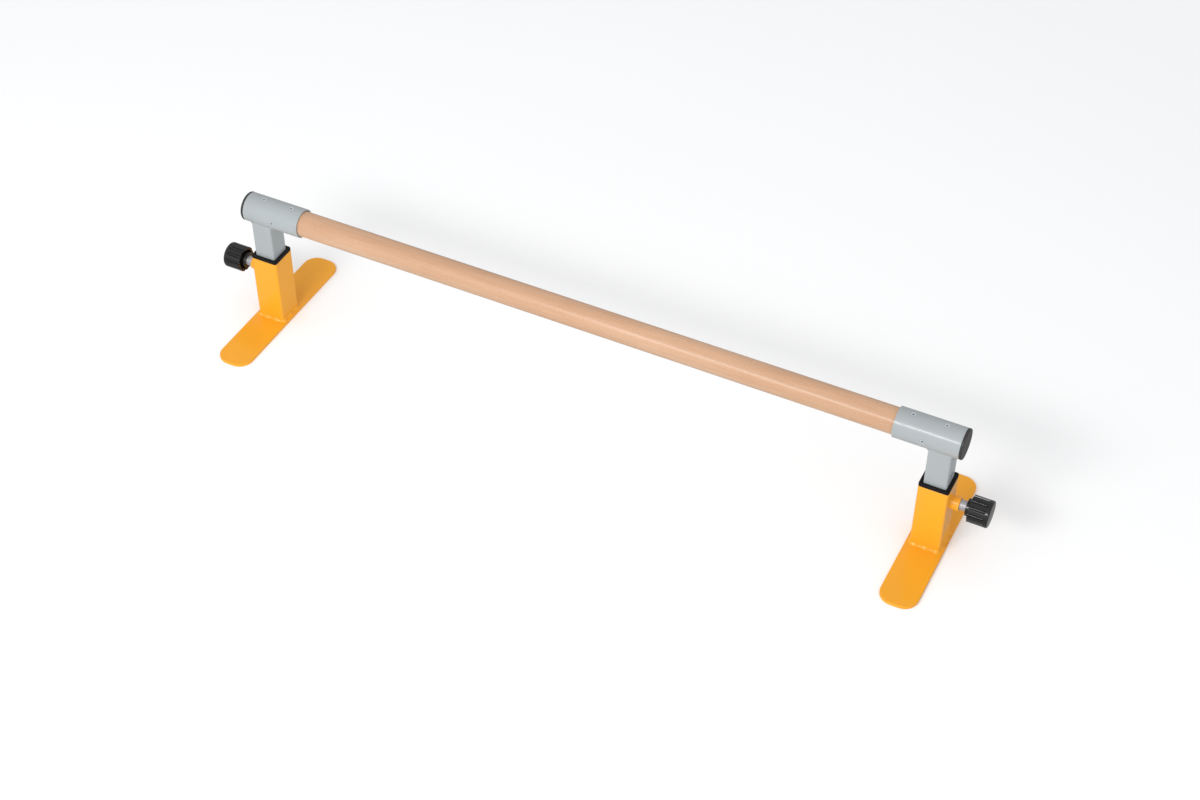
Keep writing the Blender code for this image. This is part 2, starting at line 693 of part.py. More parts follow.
def build():
    rail = make_rail()
    sleeve = make_sleeve()
    end_cap = make_end_cap()
    screw = make_screw()
    post = make_post()
    base_plate = make_base_plate()
    column = make_column()
    bush = make_guide_bush()
    boss = make_boss()
    barrel = make_barrel()
    pin = make_pin()
    spring = make_spring()
    knob = make_knob()

    rail_axis = add_frame("rail_axis", (0.0, 0.0, RAIL_AXIS_HEIGHT), (0.0, math.pi / 2, 0.0))
    place("rail", rail, rail_axis)
    for label, side in (("left", -1), ("right", 1)):
        x = side * COLUMN_SPACING / 2
        half_turn = math.pi if side < 0 else 0.0
        outwards = (0.0, math.pi / 2, half_turn)
        foot_frame = add_frame(label + "_foot_frame", (x, 0.0, 0.0), (0.0, 0.0, half_turn))
        sleeve_axis = add_frame(label + "_sleeve_axis", (x, 0.0, RAIL_AXIS_HEIGHT), outwards)
        pin_axis = add_frame(label + "_pin_axis", (x, 0.0, PIN_HEIGHT), outwards)
        rail_frame = add_frame(
            label + "_screw_frame", (x, 0.0, RAIL_AXIS_HEIGHT), (0.0, 0.0, half_turn)
        )
        place(label + "_base_plate", base_plate, foot_frame)
        place(label + "_column", column, foot_frame)
        place(label + "_guide_bush", bush, foot_frame)
        place(label + "_plunger_boss", boss, pin_axis)
        place(label + "_post", post, foot_frame)
        place(label + "_sleeve", sleeve, sleeve_axis)
        place(label + "_end_cap", end_cap, sleeve_axis)
        place(label + "_plunger_barrel", barrel, pin_axis)
        place(label + "_plunger_pin", pin, pin_axis)
        place(label + "_plunger_spring", spring, pin_axis)
        place(label + "_pull_knob", knob, pin_axis)
        for screw_label, reach, angle in screw_places():
            matrix = screw_matrix(reach, angle)
            location = matrix.to_translation()
            place(f"{label}_screw_{screw_label}", screw, rail_frame, location, (angle, 0.0, 0.0))


build()
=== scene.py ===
"""Looks for a handstand bar: a lacquered beech rail on two painted steel feet.

Each end of the bar is made in the frame of its foot, in metres: +X points outwards from the
column's centre line, +Z up, and the origin is on the floor. The right end is then moved out
along X, and the left one is turned by half a turn about Z and moved out the other way. Round
pieces are turned from profiles, which are lists of (reach, radius) with the reach along X.
"""

import math

import bmesh
import bpy
from mathutils import Euler, Matrix, Vector


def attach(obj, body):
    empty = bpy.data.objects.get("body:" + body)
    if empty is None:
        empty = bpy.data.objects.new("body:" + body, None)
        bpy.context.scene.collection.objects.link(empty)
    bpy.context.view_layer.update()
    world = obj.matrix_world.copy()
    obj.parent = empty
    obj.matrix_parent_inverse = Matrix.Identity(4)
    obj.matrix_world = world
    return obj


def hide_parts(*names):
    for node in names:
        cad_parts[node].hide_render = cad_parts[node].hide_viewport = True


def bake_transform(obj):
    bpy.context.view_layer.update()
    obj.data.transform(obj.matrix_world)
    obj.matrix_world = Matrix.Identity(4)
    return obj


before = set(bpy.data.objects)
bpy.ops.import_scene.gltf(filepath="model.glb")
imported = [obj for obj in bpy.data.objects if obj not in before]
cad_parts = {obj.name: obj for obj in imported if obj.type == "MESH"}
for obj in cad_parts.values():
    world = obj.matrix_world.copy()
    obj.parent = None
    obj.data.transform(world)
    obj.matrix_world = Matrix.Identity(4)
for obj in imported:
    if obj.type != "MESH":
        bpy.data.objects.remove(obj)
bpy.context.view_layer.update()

# The whole bar
COLUMN_SPACING = 1.172
RAIL_AXIS_HEIGHT = 0.2175
GAP = 0.0003
FINE_BEVEL = 0.0003

# Wooden rail
RAIL_RADIUS = 0.021
RAIL_ROUNDING = 0.001
RAIL_END_REACH = 0.016
RAIL_STEP = 0.02

# Sleeve and its end cap. A fin's points are (share of the pitch, share of the depth inwards).
SLEEVE_RADIUS = 0.02415
SLEEVE_BORE_RADIUS = 0.02155
SLEEVE_INNER_REACH = -0.0745
SLEEVE_OUTER_REACH = 0.0285
SLEEVE_ROUNDING = 0.0006
SLEEVE_STEP = 0.0025
CAP_FLANGE = 0.004
CAP_ROUNDING = 0.0012
CAP_PLUG_LENGTH = 0.0105
CAP_PLUG_WALL = 0.0026
CAP_FIN_DEPTH = 0.0008
CAP_FIN_COUNT = 3
CAP_FIN = ((0.0, 1.0), (0.25, 0.0), (0.35, 0.0), (0.7, 1.0))

# Countersunk screws. The head's dome is given by (rise, share of the head's radius), and the
# two ends of its cross recess by (height, reach of an arm, half width of an arm).
SCREW_LENGTH = 0.02
SCREW_POINT = 0.004
SCREW_RADIUS = 0.002
SCREW_HEAD_RADIUS = 0.00375
SCREW_DOME = ((0.00015, 0.0), (0.0001, 0.6))
SCREW_SINK = 0.0003
SCREW_TOP_REACH = 0.0
SCREW_TOP_PITCH = 0.052
SCREW_SIDE_REACH = -0.027
SCREW_SIDE_TURN = 0.35
SCREW_HOLE_RISE = 0.004
RECESS_ENDS = ((0.0006, 0.0024, 0.0008), (-0.0034, 0.0012, 0.0005))
# Painted shade in a screw's cross recess: where it starts below the rim, and its full depth
RECESS_SHADE_START = 0.0001
RECESS_SHADE_DEPTH = 0.0008

# Post
POST_SIDE = 0.0365
POST_WALL = 0.0025
POST_CORNER = 0.003
POST_BOTTOM = 0.058
POST_STRAIGHT_TOP = 0.185
INDEX_HOLE_RADIUS = 0.0043
INDEX_PITCH = 0.025
INDEX_STEPS = (-1, 0, 1, 2)
POST_WELD_RADIUS = 0.0092
POST_WELD_RIPPLES = {
    "Lumps": 9.0, "Lump Depth": 0.00008, "Ripples": 36.0, "Ripple Depth": 0.00002,
    "Uneven Depth": 0.0003, "Seed": 7.0,
}

# Foot
PLATE_LENGTH = 0.300
PLATE_WIDTH = 0.060
PLATE_THICKNESS = 0.005
PLATE_CORNER = 0.0235
PLATE_ROUNDING = 0.0008
PLATE_LOW_ROUNDING = 0.6 * PLATE_ROUNDING
COLUMN_SIDE = 0.048
COLUMN_WALL = 0.0025
COLUMN_CORNER = 0.004
COLUMN_TOP = 0.128
COLUMN_BEVEL = 0.0004
COLUMN_WELD_RADIUS = 0.0047
COLUMN_WELD_RIPPLES = {"Lumps": 11.0, "Lump Depth": 0.0008, "Uneven Depth": 0.0011, "Seed": 2.0}
BUSH_FLANGE = 0.005
BUSH_SKIRT = 0.060
BUSH_ROUNDING = 0.0008
BUSH_LEAD_IN = 0.0007

# Pull pin. Its tip is given by (reach from the end, how much slimmer than the pin).
PIN_HEIGHT = 0.0955
PIN_TRAVEL = 0.009
PIN_RADIUS = 0.004
PIN_TIP = ((0.0, 0.001), (0.0005, 0.0005), (0.0015, 0.0))
PIN_END_REACH = 0.078
PIN_COLLAR_RADIUS = 0.006
PIN_COLLAR_LENGTH = 0.003
BOSS_RADIUS = 0.011
BOSS_LENGTH = 0.0142
BOSS_ROUNDING = 0.0009
BOSS_WELD = 0.002
BARREL_RADIUS = 0.00825
BARREL_ROUNDING = 0.0006
BARREL_NOSE_REACH = 0.0196
BARREL_END_REACH = 0.060
BARREL_SHOULDER = 0.0074
BARREL_REAR_WALL = 0.004
BARREL_CHAMBER_RADIUS = 0.0063
PIN_COLLAR_REACH = BARREL_NOSE_REACH + BARREL_SHOULDER + GAP + PIN_TRAVEL
SPRING_WIRE_RADIUS = 0.0005
SPRING_MEAN_RADIUS = 0.00515
SPRING_TURNS = 6.0
SPRING_TURN_POINTS = 48
SPRING_WIRE_POINTS = 12
KNOB_RADIUS = 0.0214
KNOB_HUB_RADIUS = 0.01375
KNOB_HUB_REACH = 0.049
KNOB_BACK_REACH = 0.0545
KNOB_BACK_ROUNDING = 0.0007
KNOB_BACK_STEP = 0.0006
KNOB_SIDE_STEP = 0.0008
KNOB_END_REACH = 0.0865
KNOB_ROUNDING = 0.0024
KNOB_DOME = 0.0006
KNOB_DOME_SHARES = (0.85, 0.6, 0.35, 0.15)
KNOB_BORE_END = 0.070
KNOB_RECESS_RADIUS = 0.0172
KNOB_RECESS_DEPTH = 0.008
FLUTE_COUNT = 12.0
FLUTE_RADIUS = 0.0025
FLUTE_DEPTH = 0.0023
FLUTE_END_REACH = 0.0800
FLUTE_RUN_OUT = 0.0012
FLUTE_SOFTNESS = 0.0009
FLUTE_CLEARANCE = 0.01

# The two ends, and how finely shapes are cut
SIDES = (("left", -1), ("right", 1))
RAIL_SEGMENTS = 128
ROUND_SEGMENTS = 96
SMALL_SEGMENTS = 64
KNOB_SEGMENTS = 432
EDGE_STEPS = 4
STEP_SLACK = 1.0001
WELD_ROWS = 12
WELD_SINK = 0.0006
WELD_RIPPLE_BOW = 2.5
WELD_NOISE_SCALE = 90.0
SLIVER = 0.000002
TINY = 1e-6
SHARP = math.radians(32)
QUARTER = math.pi / 2

# Camera, at the photograph's viewing angle
LENS = 61.64
SENSOR = 36.0
CAMERA_FAR = 60.0
CAMERA_PLACE = (1.0897, -2.1270, 2.2996)
CAMERA_TURN = (46.635, -0.124, 26.684)

# Floor, and the lights: name, place, width and height, power
FLOOR_REACH = 30.0
LIGHT_AIM = (0.0, 0.0, 0.1)
LIGHTS = (
    ("front_softbox", (-0.42, -2.38, 1.91), (1.36, 0.5), 24.0),
    ("front_diffuser", (-0.25, -2.48, 1.99), (2.6, 1.1), 19.0),
)


# Node trees

class Wiring:
    """Adds nodes to a tree. A value that is a socket is linked to its input, any other is set."""

    def __init__(self, tree):
        self.tree = tree

    def socket(self, side, label, kind, value=None):
        """Adds a socket, an INPUT or an OUTPUT, to the tree's own interface."""
        made = self.tree.interface.new_socket(
            label, in_out=side, socket_type="NodeSocket" + kind
        )
        if value is not None:
            made.default_value = value

    def add(self, kind, inputs=None, **settings):
        node = self.tree.nodes.new(kind)
        for name, value in settings.items():
            setattr(node, name, value)
        for key, value in (inputs or {}).items():
            self.feed(node.inputs[key], value)
        return node

    def feed(self, socket, value):
        if isinstance(value, bpy.types.NodeSocket):
            self.tree.links.new(value, socket)
        else:
            socket.default_value = value

    def math(self, operation, *values):
        return self.add("ShaderNodeMath", dict(enumerate(values)), operation=operation).outputs[0]

    def split(self, vector):
        """The x, y and z of a vector."""
        return self.add("ShaderNodeSeparateXYZ", {0: vector}).outputs

    def joined(self, x=0.0, y=0.0, z=0.0):
        return self.add("ShaderNodeCombineXYZ", {0: x, 1: y, 2: z}).outputs[0]

    def noise(self, vector, scale, detail=2.0, roughness=0.5):
        inputs = {"Vector": vector, "Scale": scale, "Detail": detail, "Roughness": roughness}
        return self.add("ShaderNodeTexNoise", inputs).outputs[0]

    def mapped(self, vector, scale, place=(0.0, 0.0, 0.0)):
        inputs = {"Vector": vector, "Location": place, "Scale": scale}
        return self.add("ShaderNodeMapping", inputs).outputs[0]

    def remap(self, value, low, high, to_low, to_high):
        inputs = {0: value, 1: low, 2: high, 3: to_low, 4: to_high}
        return self.add("ShaderNodeMapRange", inputs).outputs[0]

    def mix(self, factor, first, second, blend="MIX"):
        inputs = {0: factor, 6: first, 7: second}
        return self.add("ShaderNodeMix", inputs, data_type="RGBA", blend_type=blend).outputs[2]


def rgba(red, green, blue):
    return (red, green, blue, 1.0)


def finish_group(name, inputs):
    """The wiring and the inputs of a new shader group that makes a finish from a place."""
    net = Wiring(bpy.data.node_groups.new(name, "ShaderNodeTree"))
    net.socket("INPUT", "Vector", "Vector")
    for label, value in inputs.items():
        net.socket("INPUT", label, "Float" if isinstance(value, float) else "Color", value)
    for label, kind in (("Color", "Color"), ("Roughness", "Float"), ("Height", "Float")):
        net.socket("OUTPUT", label, kind)
    return net, net.add("NodeGroupInput").outputs


def finished(net, color, roughness, height):
    """Ends a finish's group with what it puts out."""
    net.add("NodeGroupOutput", {"Color": color, "Roughness": roughness, "Height": height})
    return net.tree


def make_paint_group():
    """Powder coat: soft orange peel, a slow drift of tone, small specks and handling marks."""
    net, given = finish_group(
        "powder_coat",
        {
            "Color": rgba(0.5, 0.5, 0.5), "Drift": 0.04, "Gloss Roughness": 0.2,
            "Peel Scale": 450.0,
        },
    )
    vector, color = given["Vector"], given["Color"]
    slow = net.noise(vector, 9.0, 3.0)
    darker = net.mix(1.0, color, rgba(0.88, 0.87, 0.86), "MULTIPLY")
    strength = net.math("MULTIPLY", net.remap(slow, 0.35, 0.7, 0.0, 10.0), given["Drift"])
    toned = net.mix(strength, color, darker)
    specks = net.add("ShaderNodeTexVoronoi", {"Vector": vector, "Scale": 220.0}).outputs[0]
    toned = net.mix(net.remap(specks, 0.035, 0.06, 0.35, 0.0), toned, darker)
    marks = net.noise(net.mapped(vector, (1.0, 1.0, 2.2)), 28.0, 4.0, 0.62)
    rougher = net.remap(marks, 0.4, 0.75, 0.0, 0.09)
    peel = net.noise(vector, given["Peel Scale"], 1.0, 0.4)
    return finished(net, toned, net.math("ADD", given["Gloss Roughness"], rougher), peel)


def make_plastic_group():
    """Moulded plastic: spark-eroded grain, faint flow lines, dust and slightly uneven gloss."""
    net, given = finish_group(
        "moulded_plastic",
        {"Color": rgba(0.02, 0.02, 0.02), "Satin Roughness": 0.4, "Grain Scale": 3200.0},
    )
    vector, color = given["Vector"], given["Color"]
    flow = net.noise(net.mapped(vector, (1.0, 3.0, 3.0)), 45.0, 3.0, 0.55)
    lighter = net.mix(1.0, color, rgba(1.7, 1.68, 1.64), "MULTIPLY")
    toned = net.mix(net.remap(flow, 0.35, 0.8, 0.0, 0.8), color, lighter)
    dust = net.noise(vector, 900.0, 2.0, 0.7)
    toned = net.mix(net.remap(dust, 0.68, 0.8, 0.0, 0.12), toned, rgba(0.22, 0.21, 0.2))
    grain = net.noise(vector, given["Grain Scale"], 2.0, 0.6)
    rougher = net.remap(flow, 0.3, 0.75, -0.04, 0.07)
    return finished(net, toned, net.math("ADD", given["Satin Roughness"], rougher), grain)


def make_plating_group():
    """Zinc on turned steel: cloudy patches, tool rings across X and hairline scratches. Its last
    input paints shade into a screw's cross recess: dark where that input is 1."""
    net, given = finish_group(
        "bright_plating",
        {
            "Color": rgba(0.66, 0.67, 0.70), "Bright Roughness": 0.2, "Ring Scale": 2200.0,
            "Recess Shade": 0.0,
        },
    )
    vector, color = given["Vector"], given["Color"]
    clouds = net.noise(vector, 160.0, 4.0, 0.6)
    cooler = net.mix(1.0, color, rgba(0.78, 0.82, 0.9), "MULTIPLY")
    toned = net.mix(net.remap(clouds, 0.35, 0.7, 0.0, 1.0), color, cooler)
    # Painted shade: the colour goes near black where the recess is deep.
    toned = net.mix(given["Recess Shade"], toned, rgba(0.035, 0.035, 0.04))
    waver = net.math("MULTIPLY", net.noise(vector, 300.0), 1.5)
    along = net.math("MULTIPLY_ADD", net.split(vector)[0], given["Ring Scale"], waver)
    scratches = net.noise(net.mapped(vector, (9.0, 1.0, 1.0)), 700.0, 3.0, 0.7)
    height = net.math("MULTIPLY_ADD", scratches, 0.6, net.math("SINE", along))
    rougher = net.remap(clouds, 0.3, 0.75, -0.03, 0.1)
    return finished(net, toned, net.math("ADD", given["Bright Roughness"], rougher), height)


def make_beech_group():
    """Straight-grained beech, its grain along X: growth rings, ray flecks and pore streaks,
    with a paler, yellower colour below the given height."""
    net, given = finish_group(
        "beech_grain",
        {
            "Early Wood": rgba(0.65, 0.405, 0.258), "Lower Wood": rgba(0.605, 0.44, 0.31),
            "Late Wood": rgba(0.5, 0.275, 0.155), "Fleck": rgba(0.34, 0.165, 0.085),
            "Ring Width": 0.0026, "Lower Wood Height": RAIL_AXIS_HEIGHT,
        },
    )
    vector = given["Vector"]
    parts = net.split(vector)
    drift = net.noise(net.mapped(vector, (1.6, 0.0, 0.0)), 1.0, 1.0)
    across = net.math("ADD", parts[1], net.math("MULTIPLY_ADD", drift, 0.03, 0.05))
    below = net.math("ADD", parts[2], net.math("MULTIPLY_ADD", drift, 0.016, -0.14))
    wobble = net.noise(net.mapped(vector, (5.0, 40.0, 40.0)), 1.0, 2.0)
    squares = net.math("ADD", net.math("POWER", across, 2.0), net.math("POWER", below, 2.0))
    radius = net.math("MULTIPLY_ADD", wobble, 0.003, net.math("SQRT", squares))
    band = net.math("FRACT", net.math("DIVIDE", radius, given["Ring Width"]))
    rings = net.math("POWER", band, 4.0)
    tone = net.noise(net.mapped(vector, (2.2, 25.0, 25.0)), 1.0, 3.0)
    streaks = net.noise(net.mapped(vector, (14.0, 700.0, 700.0)), 1.0, 3.0, 0.6)
    depth = net.math("MULTIPLY_ADD", rings, 0.3, net.remap(tone, 0.35, 0.65, 0.0, 0.55))
    depth = net.math("MULTIPLY_ADD", net.remap(streaks, 0.4, 0.7, 0.0, 1.0), 0.35, depth)
    # Paler, yellower wood below the given height, the rail's axis, with a wavering edge
    slow = net.noise(net.mapped(vector, (3.0, 22.0, 22.0), (0.7, 0.2, 0.4)), 1.0, 2.0)
    under = net.math("SUBTRACT", given["Lower Wood Height"], parts[2])
    lower_share = net.remap(net.math("MULTIPLY_ADD", slow, 0.035, under), 0.006, 0.028, 0.0, 1.0)
    wood = net.mix(lower_share, given["Early Wood"], given["Lower Wood"])
    wood = net.mix(depth, wood, given["Late Wood"])
    stretched = net.mapped(vector, (190.0, 1150.0, 1150.0))
    cells = net.add("ShaderNodeTexVoronoi", {"Vector": stretched, "Scale": 1.0}).outputs
    chance = net.add("ShaderNodeSeparateColor", {0: cells["Color"]}).outputs[0]
    core = net.remap(cells["Distance"], 0.18, 0.34, 1.0, 0.0)
    fleck = net.math("MULTIPLY", core, net.math("GREATER_THAN", chance, 0.35))
    wood = net.mix(net.math("MULTIPLY", fleck, 0.32), wood, given["Fleck"])
    waves = net.noise(net.mapped(vector, (14.0, 50.0, 50.0)), 1.0, 2.0)
    pores = net.math("MULTIPLY_ADD", fleck, -0.6, streaks)
    height = net.math("MULTIPLY_ADD", waves, 9.0, pores)
    return finished(net, wood, net.remap(tone, 0.3, 0.75, 0.4, 0.5), height)


def surface(name, group, group_values, bump, fixed):
    """A Principled material whose colour, roughness and bump come from one of the groups. A
    group's value that is a word is read from the mesh's attribute of that name."""
    material = bpy.data.materials.new(name)
    material.use_nodes = True
    net = Wiring(material.node_tree)
    place = net.add("ShaderNodeTexCoord").outputs["Object"]
    made = net.add("ShaderNodeGroup", node_tree=group)
    net.feed(made.inputs["Vector"], place)
    for label, value in group_values.items():
        if isinstance(value, str):
            value = net.add("ShaderNodeAttribute", attribute_name=value).outputs["Fac"]
        net.feed(made.inputs[label], value)
    strength, distance = bump
    inputs = {"Height": made.outputs["Height"], "Strength": strength, "Distance": distance}
    normal = net.add("ShaderNodeBump", inputs).outputs[0]
    shader = material.node_tree.nodes["Principled BSDF"]
    net.feed(shader.inputs["Base Color"], made.outputs["Color"])
    net.feed(shader.inputs["Roughness"], made.outputs["Roughness"])
    net.feed(shader.inputs["Normal"], normal)
    for label, value in fixed.items():
        net.feed(shader.inputs[label], value)
    return material


def make_materials():
    """Every finish by its name: its group, the group's values, the strength and distance of
    its bump, and what is the same all over."""
    paint, plastic = make_paint_group(), make_plastic_group()
    plating, beech = make_plating_group(), make_beech_group()
    peel, grain, tool_marks = (0.03, 0.0003), (0.2, 0.00012), (0.1, 0.00005)
    gloss = {"Coat Weight": 0.35, "Coat Roughness": 0.06, "IOR": 1.5, "Specular IOR Level": 0.3}
    rows = {
        "lacquered_beech": (
            beech, {}, (0.35, 0.0005),
            {"Coat Weight": 0.35, "Coat Roughness": 0.24, "IOR": 1.45, "Specular IOR Level": 0.4},
        ),
        "grey_powder_coat": (
            paint, {"Color": rgba(0.365, 0.395, 0.405), "Gloss Roughness": 0.3}, peel, gloss,
        ),
        "yellow_powder_coat": (
            paint, {"Color": rgba(0.88, 0.375, 0.018), "Gloss Roughness": 0.3}, peel, gloss,
        ),
        "cap_plastic": (
            plastic, {"Color": rgba(0.032, 0.031, 0.03), "Satin Roughness": 0.42}, grain,
            {"IOR": 1.5, "Specular IOR Level": 0.35},
        ),
        "bush_plastic": (
            plastic, {"Color": rgba(0.009, 0.008, 0.008), "Satin Roughness": 0.4}, grain,
            {"IOR": 1.5, "Specular IOR Level": 0.12},
        ),
        "knob_plastic": (
            plastic, {"Color": rgba(0.005, 0.005, 0.005), "Satin Roughness": 0.11}, (0.1, 0.0001),
            {"IOR": 1.5, "Specular IOR Level": 0.65},
        ),
        # The screws' recess takes painted shade from the mesh's attribute sunk
        "bright_zinc": (
            plating, {"Color": rgba(0.86, 0.89, 0.93), "Recess Shade": "sunk"}, tool_marks,
            {"Metallic": 0.62},
        ),
        "satin_zinc": (
            plating, {"Color": rgba(0.52, 0.51, 0.51), "Bright Roughness": 0.5}, tool_marks,
            {"Metallic": 0.6},
        ),
        "spring_wire": (
            plating, {"Color": rgba(0.45, 0.45, 0.46), "Bright Roughness": 0.28}, tool_marks,
            {"Metallic": 1.0},
        ),
    }
    return {name: surface(name, *row) for name, row in rows.items()}


MATERIALS = make_materials()


# Meshes from rings of points

def skin(rings, loop=False):
    """A closed mesh over a stack of rings. A ring of one point is a pole, and a loop joins the
    last ring to the first."""
    work = bmesh.new()
    rows = [[work.verts.new(point) for point in ring] for ring in rings]
    pairs = list(zip(rows, rows[1:]))
    if loop:
        pairs.append((rows[-1], rows[0]))
    else:
        for row in (rows[0], rows[-1]):
            if len(row) > 2:
                work.faces.new(row)
    for low, high in pairs:
        count = max(len(low), len(high))
        for i in range(count):
            j = (i + 1) % count
            corners = [(low, i), (low, j), (high, j), (high, i)]
            corners = [row[index % len(row)] for row, index in corners]
            work.faces.new(list(dict.fromkeys(corners)))
    bmesh.ops.recalc_face_normals(work, faces=work.faces)
    mesh = bpy.data.meshes.new("skin")
    work.to_mesh(mesh)
    work.free()
    return mesh


def turned(profile, segments, loop=False, height=0.0):
    """A solid of revolution about a line along X, at a height above the floor."""
    rings = []
    for reach, radius in profile:
        ring = []
        for step in range(segments if radius else 1):
            angle = step / segments * math.tau
            ring.append((reach, radius * math.sin(angle), height + radius * math.cos(angle)))
        rings.append(ring)
    return skin(rings, loop)


def upright(profile, segments):
    """The same as turned, but about Z."""
    return moved(turned(profile, segments), Matrix.Rotation(-QUARTER, 4, "Y"))


def arc(centre, radius, start, end, steps):
    """Points of a profile on an arc, by angles in quarter turns from +reach to +radius."""
    points = []
    for step in range(steps + 1):
        angle = (start + (end - start) * step / steps) * QUARTER
        points.append((centre[0] + radius * math.cos(angle), centre[1] + radius * math.sin(angle)))
    return points


def even(start, end, longest):
    """Points of a straight line without its first one, no further apart than longest."""
    count = max(1, math.ceil(math.dist(start, end) / longest))
    return [
        (start[0] + (end[0] - start[0]) * k / count, start[1] + (end[1] - start[1]) * k / count)
        for k in range(1, count + 1)
    ]


def outline(side_x, side_y, corner, per_corner=8, per_flat=1):
    """Points (x, y) round a rectangle with rounded corners, anticlockwise."""
    points = []
    for quarter in range(4):
        middle = (quarter + 0.5) * QUARTER
        x = math.copysign(side_x / 2 - corner, math.cos(middle))
        y = math.copysign(side_y / 2 - corner, math.sin(middle))
        for step in range(per_corner + 1):
            angle = (quarter + step / per_corner) * QUARTER
            points.append((x + corner * math.cos(angle), y + corner * math.sin(angle)))
    filled = []
    for index, (start, end) in enumerate(zip(points, points[1:] + points[:1])):
        filled.append(start)
        if (index + 1) % (per_corner + 1) == 0:
            filled += even(start, end, math.dist(start, end) / per_flat * STEP_SLACK)[:-1]
    return filled


def square(side, corner, **counts):
    return outline(side, side, corner, **counts)


def level(points, height):
    return [(x, y, height) for x, y in points]


def rounded_edge(side_x, side_y, corner, face, radius, towards, **counts):
    """Rings that round an outer edge over, from the side to the face at the given height."""
    rings = []
    for step in range(EDGE_STEPS + 1):
        angle = step / EDGE_STEPS * QUARTER
        inset = radius * (1 - math.cos(angle))
        height = face - towards * radius * (1 - math.sin(angle))
        ring = outline(side_x - 2 * inset, side_y - 2 * inset, corner - inset, **counts)
        rings.append(level(ring, height))
    return rings


# Objects and pieces

def new_object(name, data):
    obj = bpy.data.objects.new(name, data)
    bpy.context.scene.collection.objects.link(obj)
    return obj


def evaluated_mesh(obj):
    graph = bpy.context.evaluated_depsgraph_get()
    graph.update()
    return bpy.data.meshes.new_from_object(obj.evaluated_get(graph))


def drop(obj):
    mesh = obj.data
    bpy.data.objects.remove(obj, do_unlink=True)
    if mesh.users == 0:
        bpy.data.meshes.remove(mesh)


def carved(mesh, cutters):
    """The mesh with each cutter's mesh taken out of it."""
    obj = new_object("carving", mesh)
    tools = [new_object("cutter", cutter) for cutter in cutters]
    for tool in tools:
        modifier = obj.modifiers.new("cut", "BOOLEAN")
        modifier.operation = "DIFFERENCE"
        modifier.solver = "EXACT"
        modifier.object = tool
    result = evaluated_mesh(obj)
    for used in (obj, *tools):
        drop(used)
    return result


def moved(mesh, matrix):
    copy = mesh.copy()
    copy.transform(matrix)
    return copy


def evened(mesh):
    """The mesh rid of slivers and shaded smooth, with its real edges kept sharp."""
    work = bmesh.new()
    work.from_mesh(mesh)
    bmesh.ops.dissolve_degenerate(work, dist=SLIVER, edges=work.edges)
    work.to_mesh(mesh)
    work.free()
    mesh.shade_smooth()
    mesh.set_sharp_from_angle(angle=SHARP)
    obj = new_object("evening", mesh)
    modifier = obj.modifiers.new("normals", "WEIGHTED_NORMAL")
    modifier.keep_sharp = True
    result = evaluated_mesh(obj)
    drop(obj)
    return result


def add_piece(name, mesh, finish, body, nodes):
    mesh.name = name
    mesh.materials.clear()
    mesh.materials.append(MATERIALS[finish])
    piece = new_object(name, mesh)
    if body:
        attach(piece, body)
    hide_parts(*nodes)
    return piece


def end_matrix(side):
    """From the frame of a foot to the frame of the whole bar."""
    turn = Matrix.Rotation(math.pi if side < 0 else 0.0, 4, "Z")
    return Matrix.Translation((side * COLUMN_SPACING / 2, 0.0, 0.0)) @ turn


def add_both(name, mesh, finish, body, nodes):
    """One piece at each end. {} stands for left or right in names of bodies and nodes."""
    for label, side in SIDES:
        mesh_here = evened(moved(mesh, end_matrix(side)))
        nodes_here = [node.format(label) for node in nodes]
        add_piece(f"{label}_{name}", mesh_here, finish, body.format(label), nodes_here)


# Geometry trees

def geometry_tree(name, sizes):
    """The wiring and the inputs of a new geometry tree, the last of them its material."""
    net = Wiring(bpy.data.node_groups.new(name, "GeometryNodeTree"))
    net.socket("INPUT", "Geometry", "Geometry")
    for label, size in sizes.items():
        net.socket("INPUT", label, "Float", size)
    net.socket("INPUT", "Material", "Material")
    net.socket("OUTPUT", "Geometry", "Geometry")
    return net, net.add("NodeGroupInput").outputs


def realized(net, given, geometry):
    """Ends a geometry tree in Realize Instances and Set Material."""
    real = net.add("GeometryNodeRealizeInstances", {0: geometry}).outputs[0]
    inputs = {"Geometry": real, "Material": given["Material"]}
    net.add("NodeGroupOutput", {0: net.add("GeometryNodeSetMaterial", inputs).outputs[0]})
    return net.tree


def grown(tree, mesh, finish, sizes=None):
    """The plain mesh that a geometry tree makes of a mesh. Inputs are set by identifier."""
    values = {"Material": MATERIALS[finish], **(sizes or {})}
    obj = new_object("growing", mesh)
    modifier = obj.modifiers.new("grow", "NODES")
    modifier.node_group = tree
    for item in tree.interface.items_tree:
        if item.in_out == "INPUT" and item.name in values:
            modifier[item.identifier] = values[item.name]
    result = evaluated_mesh(obj)
    drop(obj)
    return result


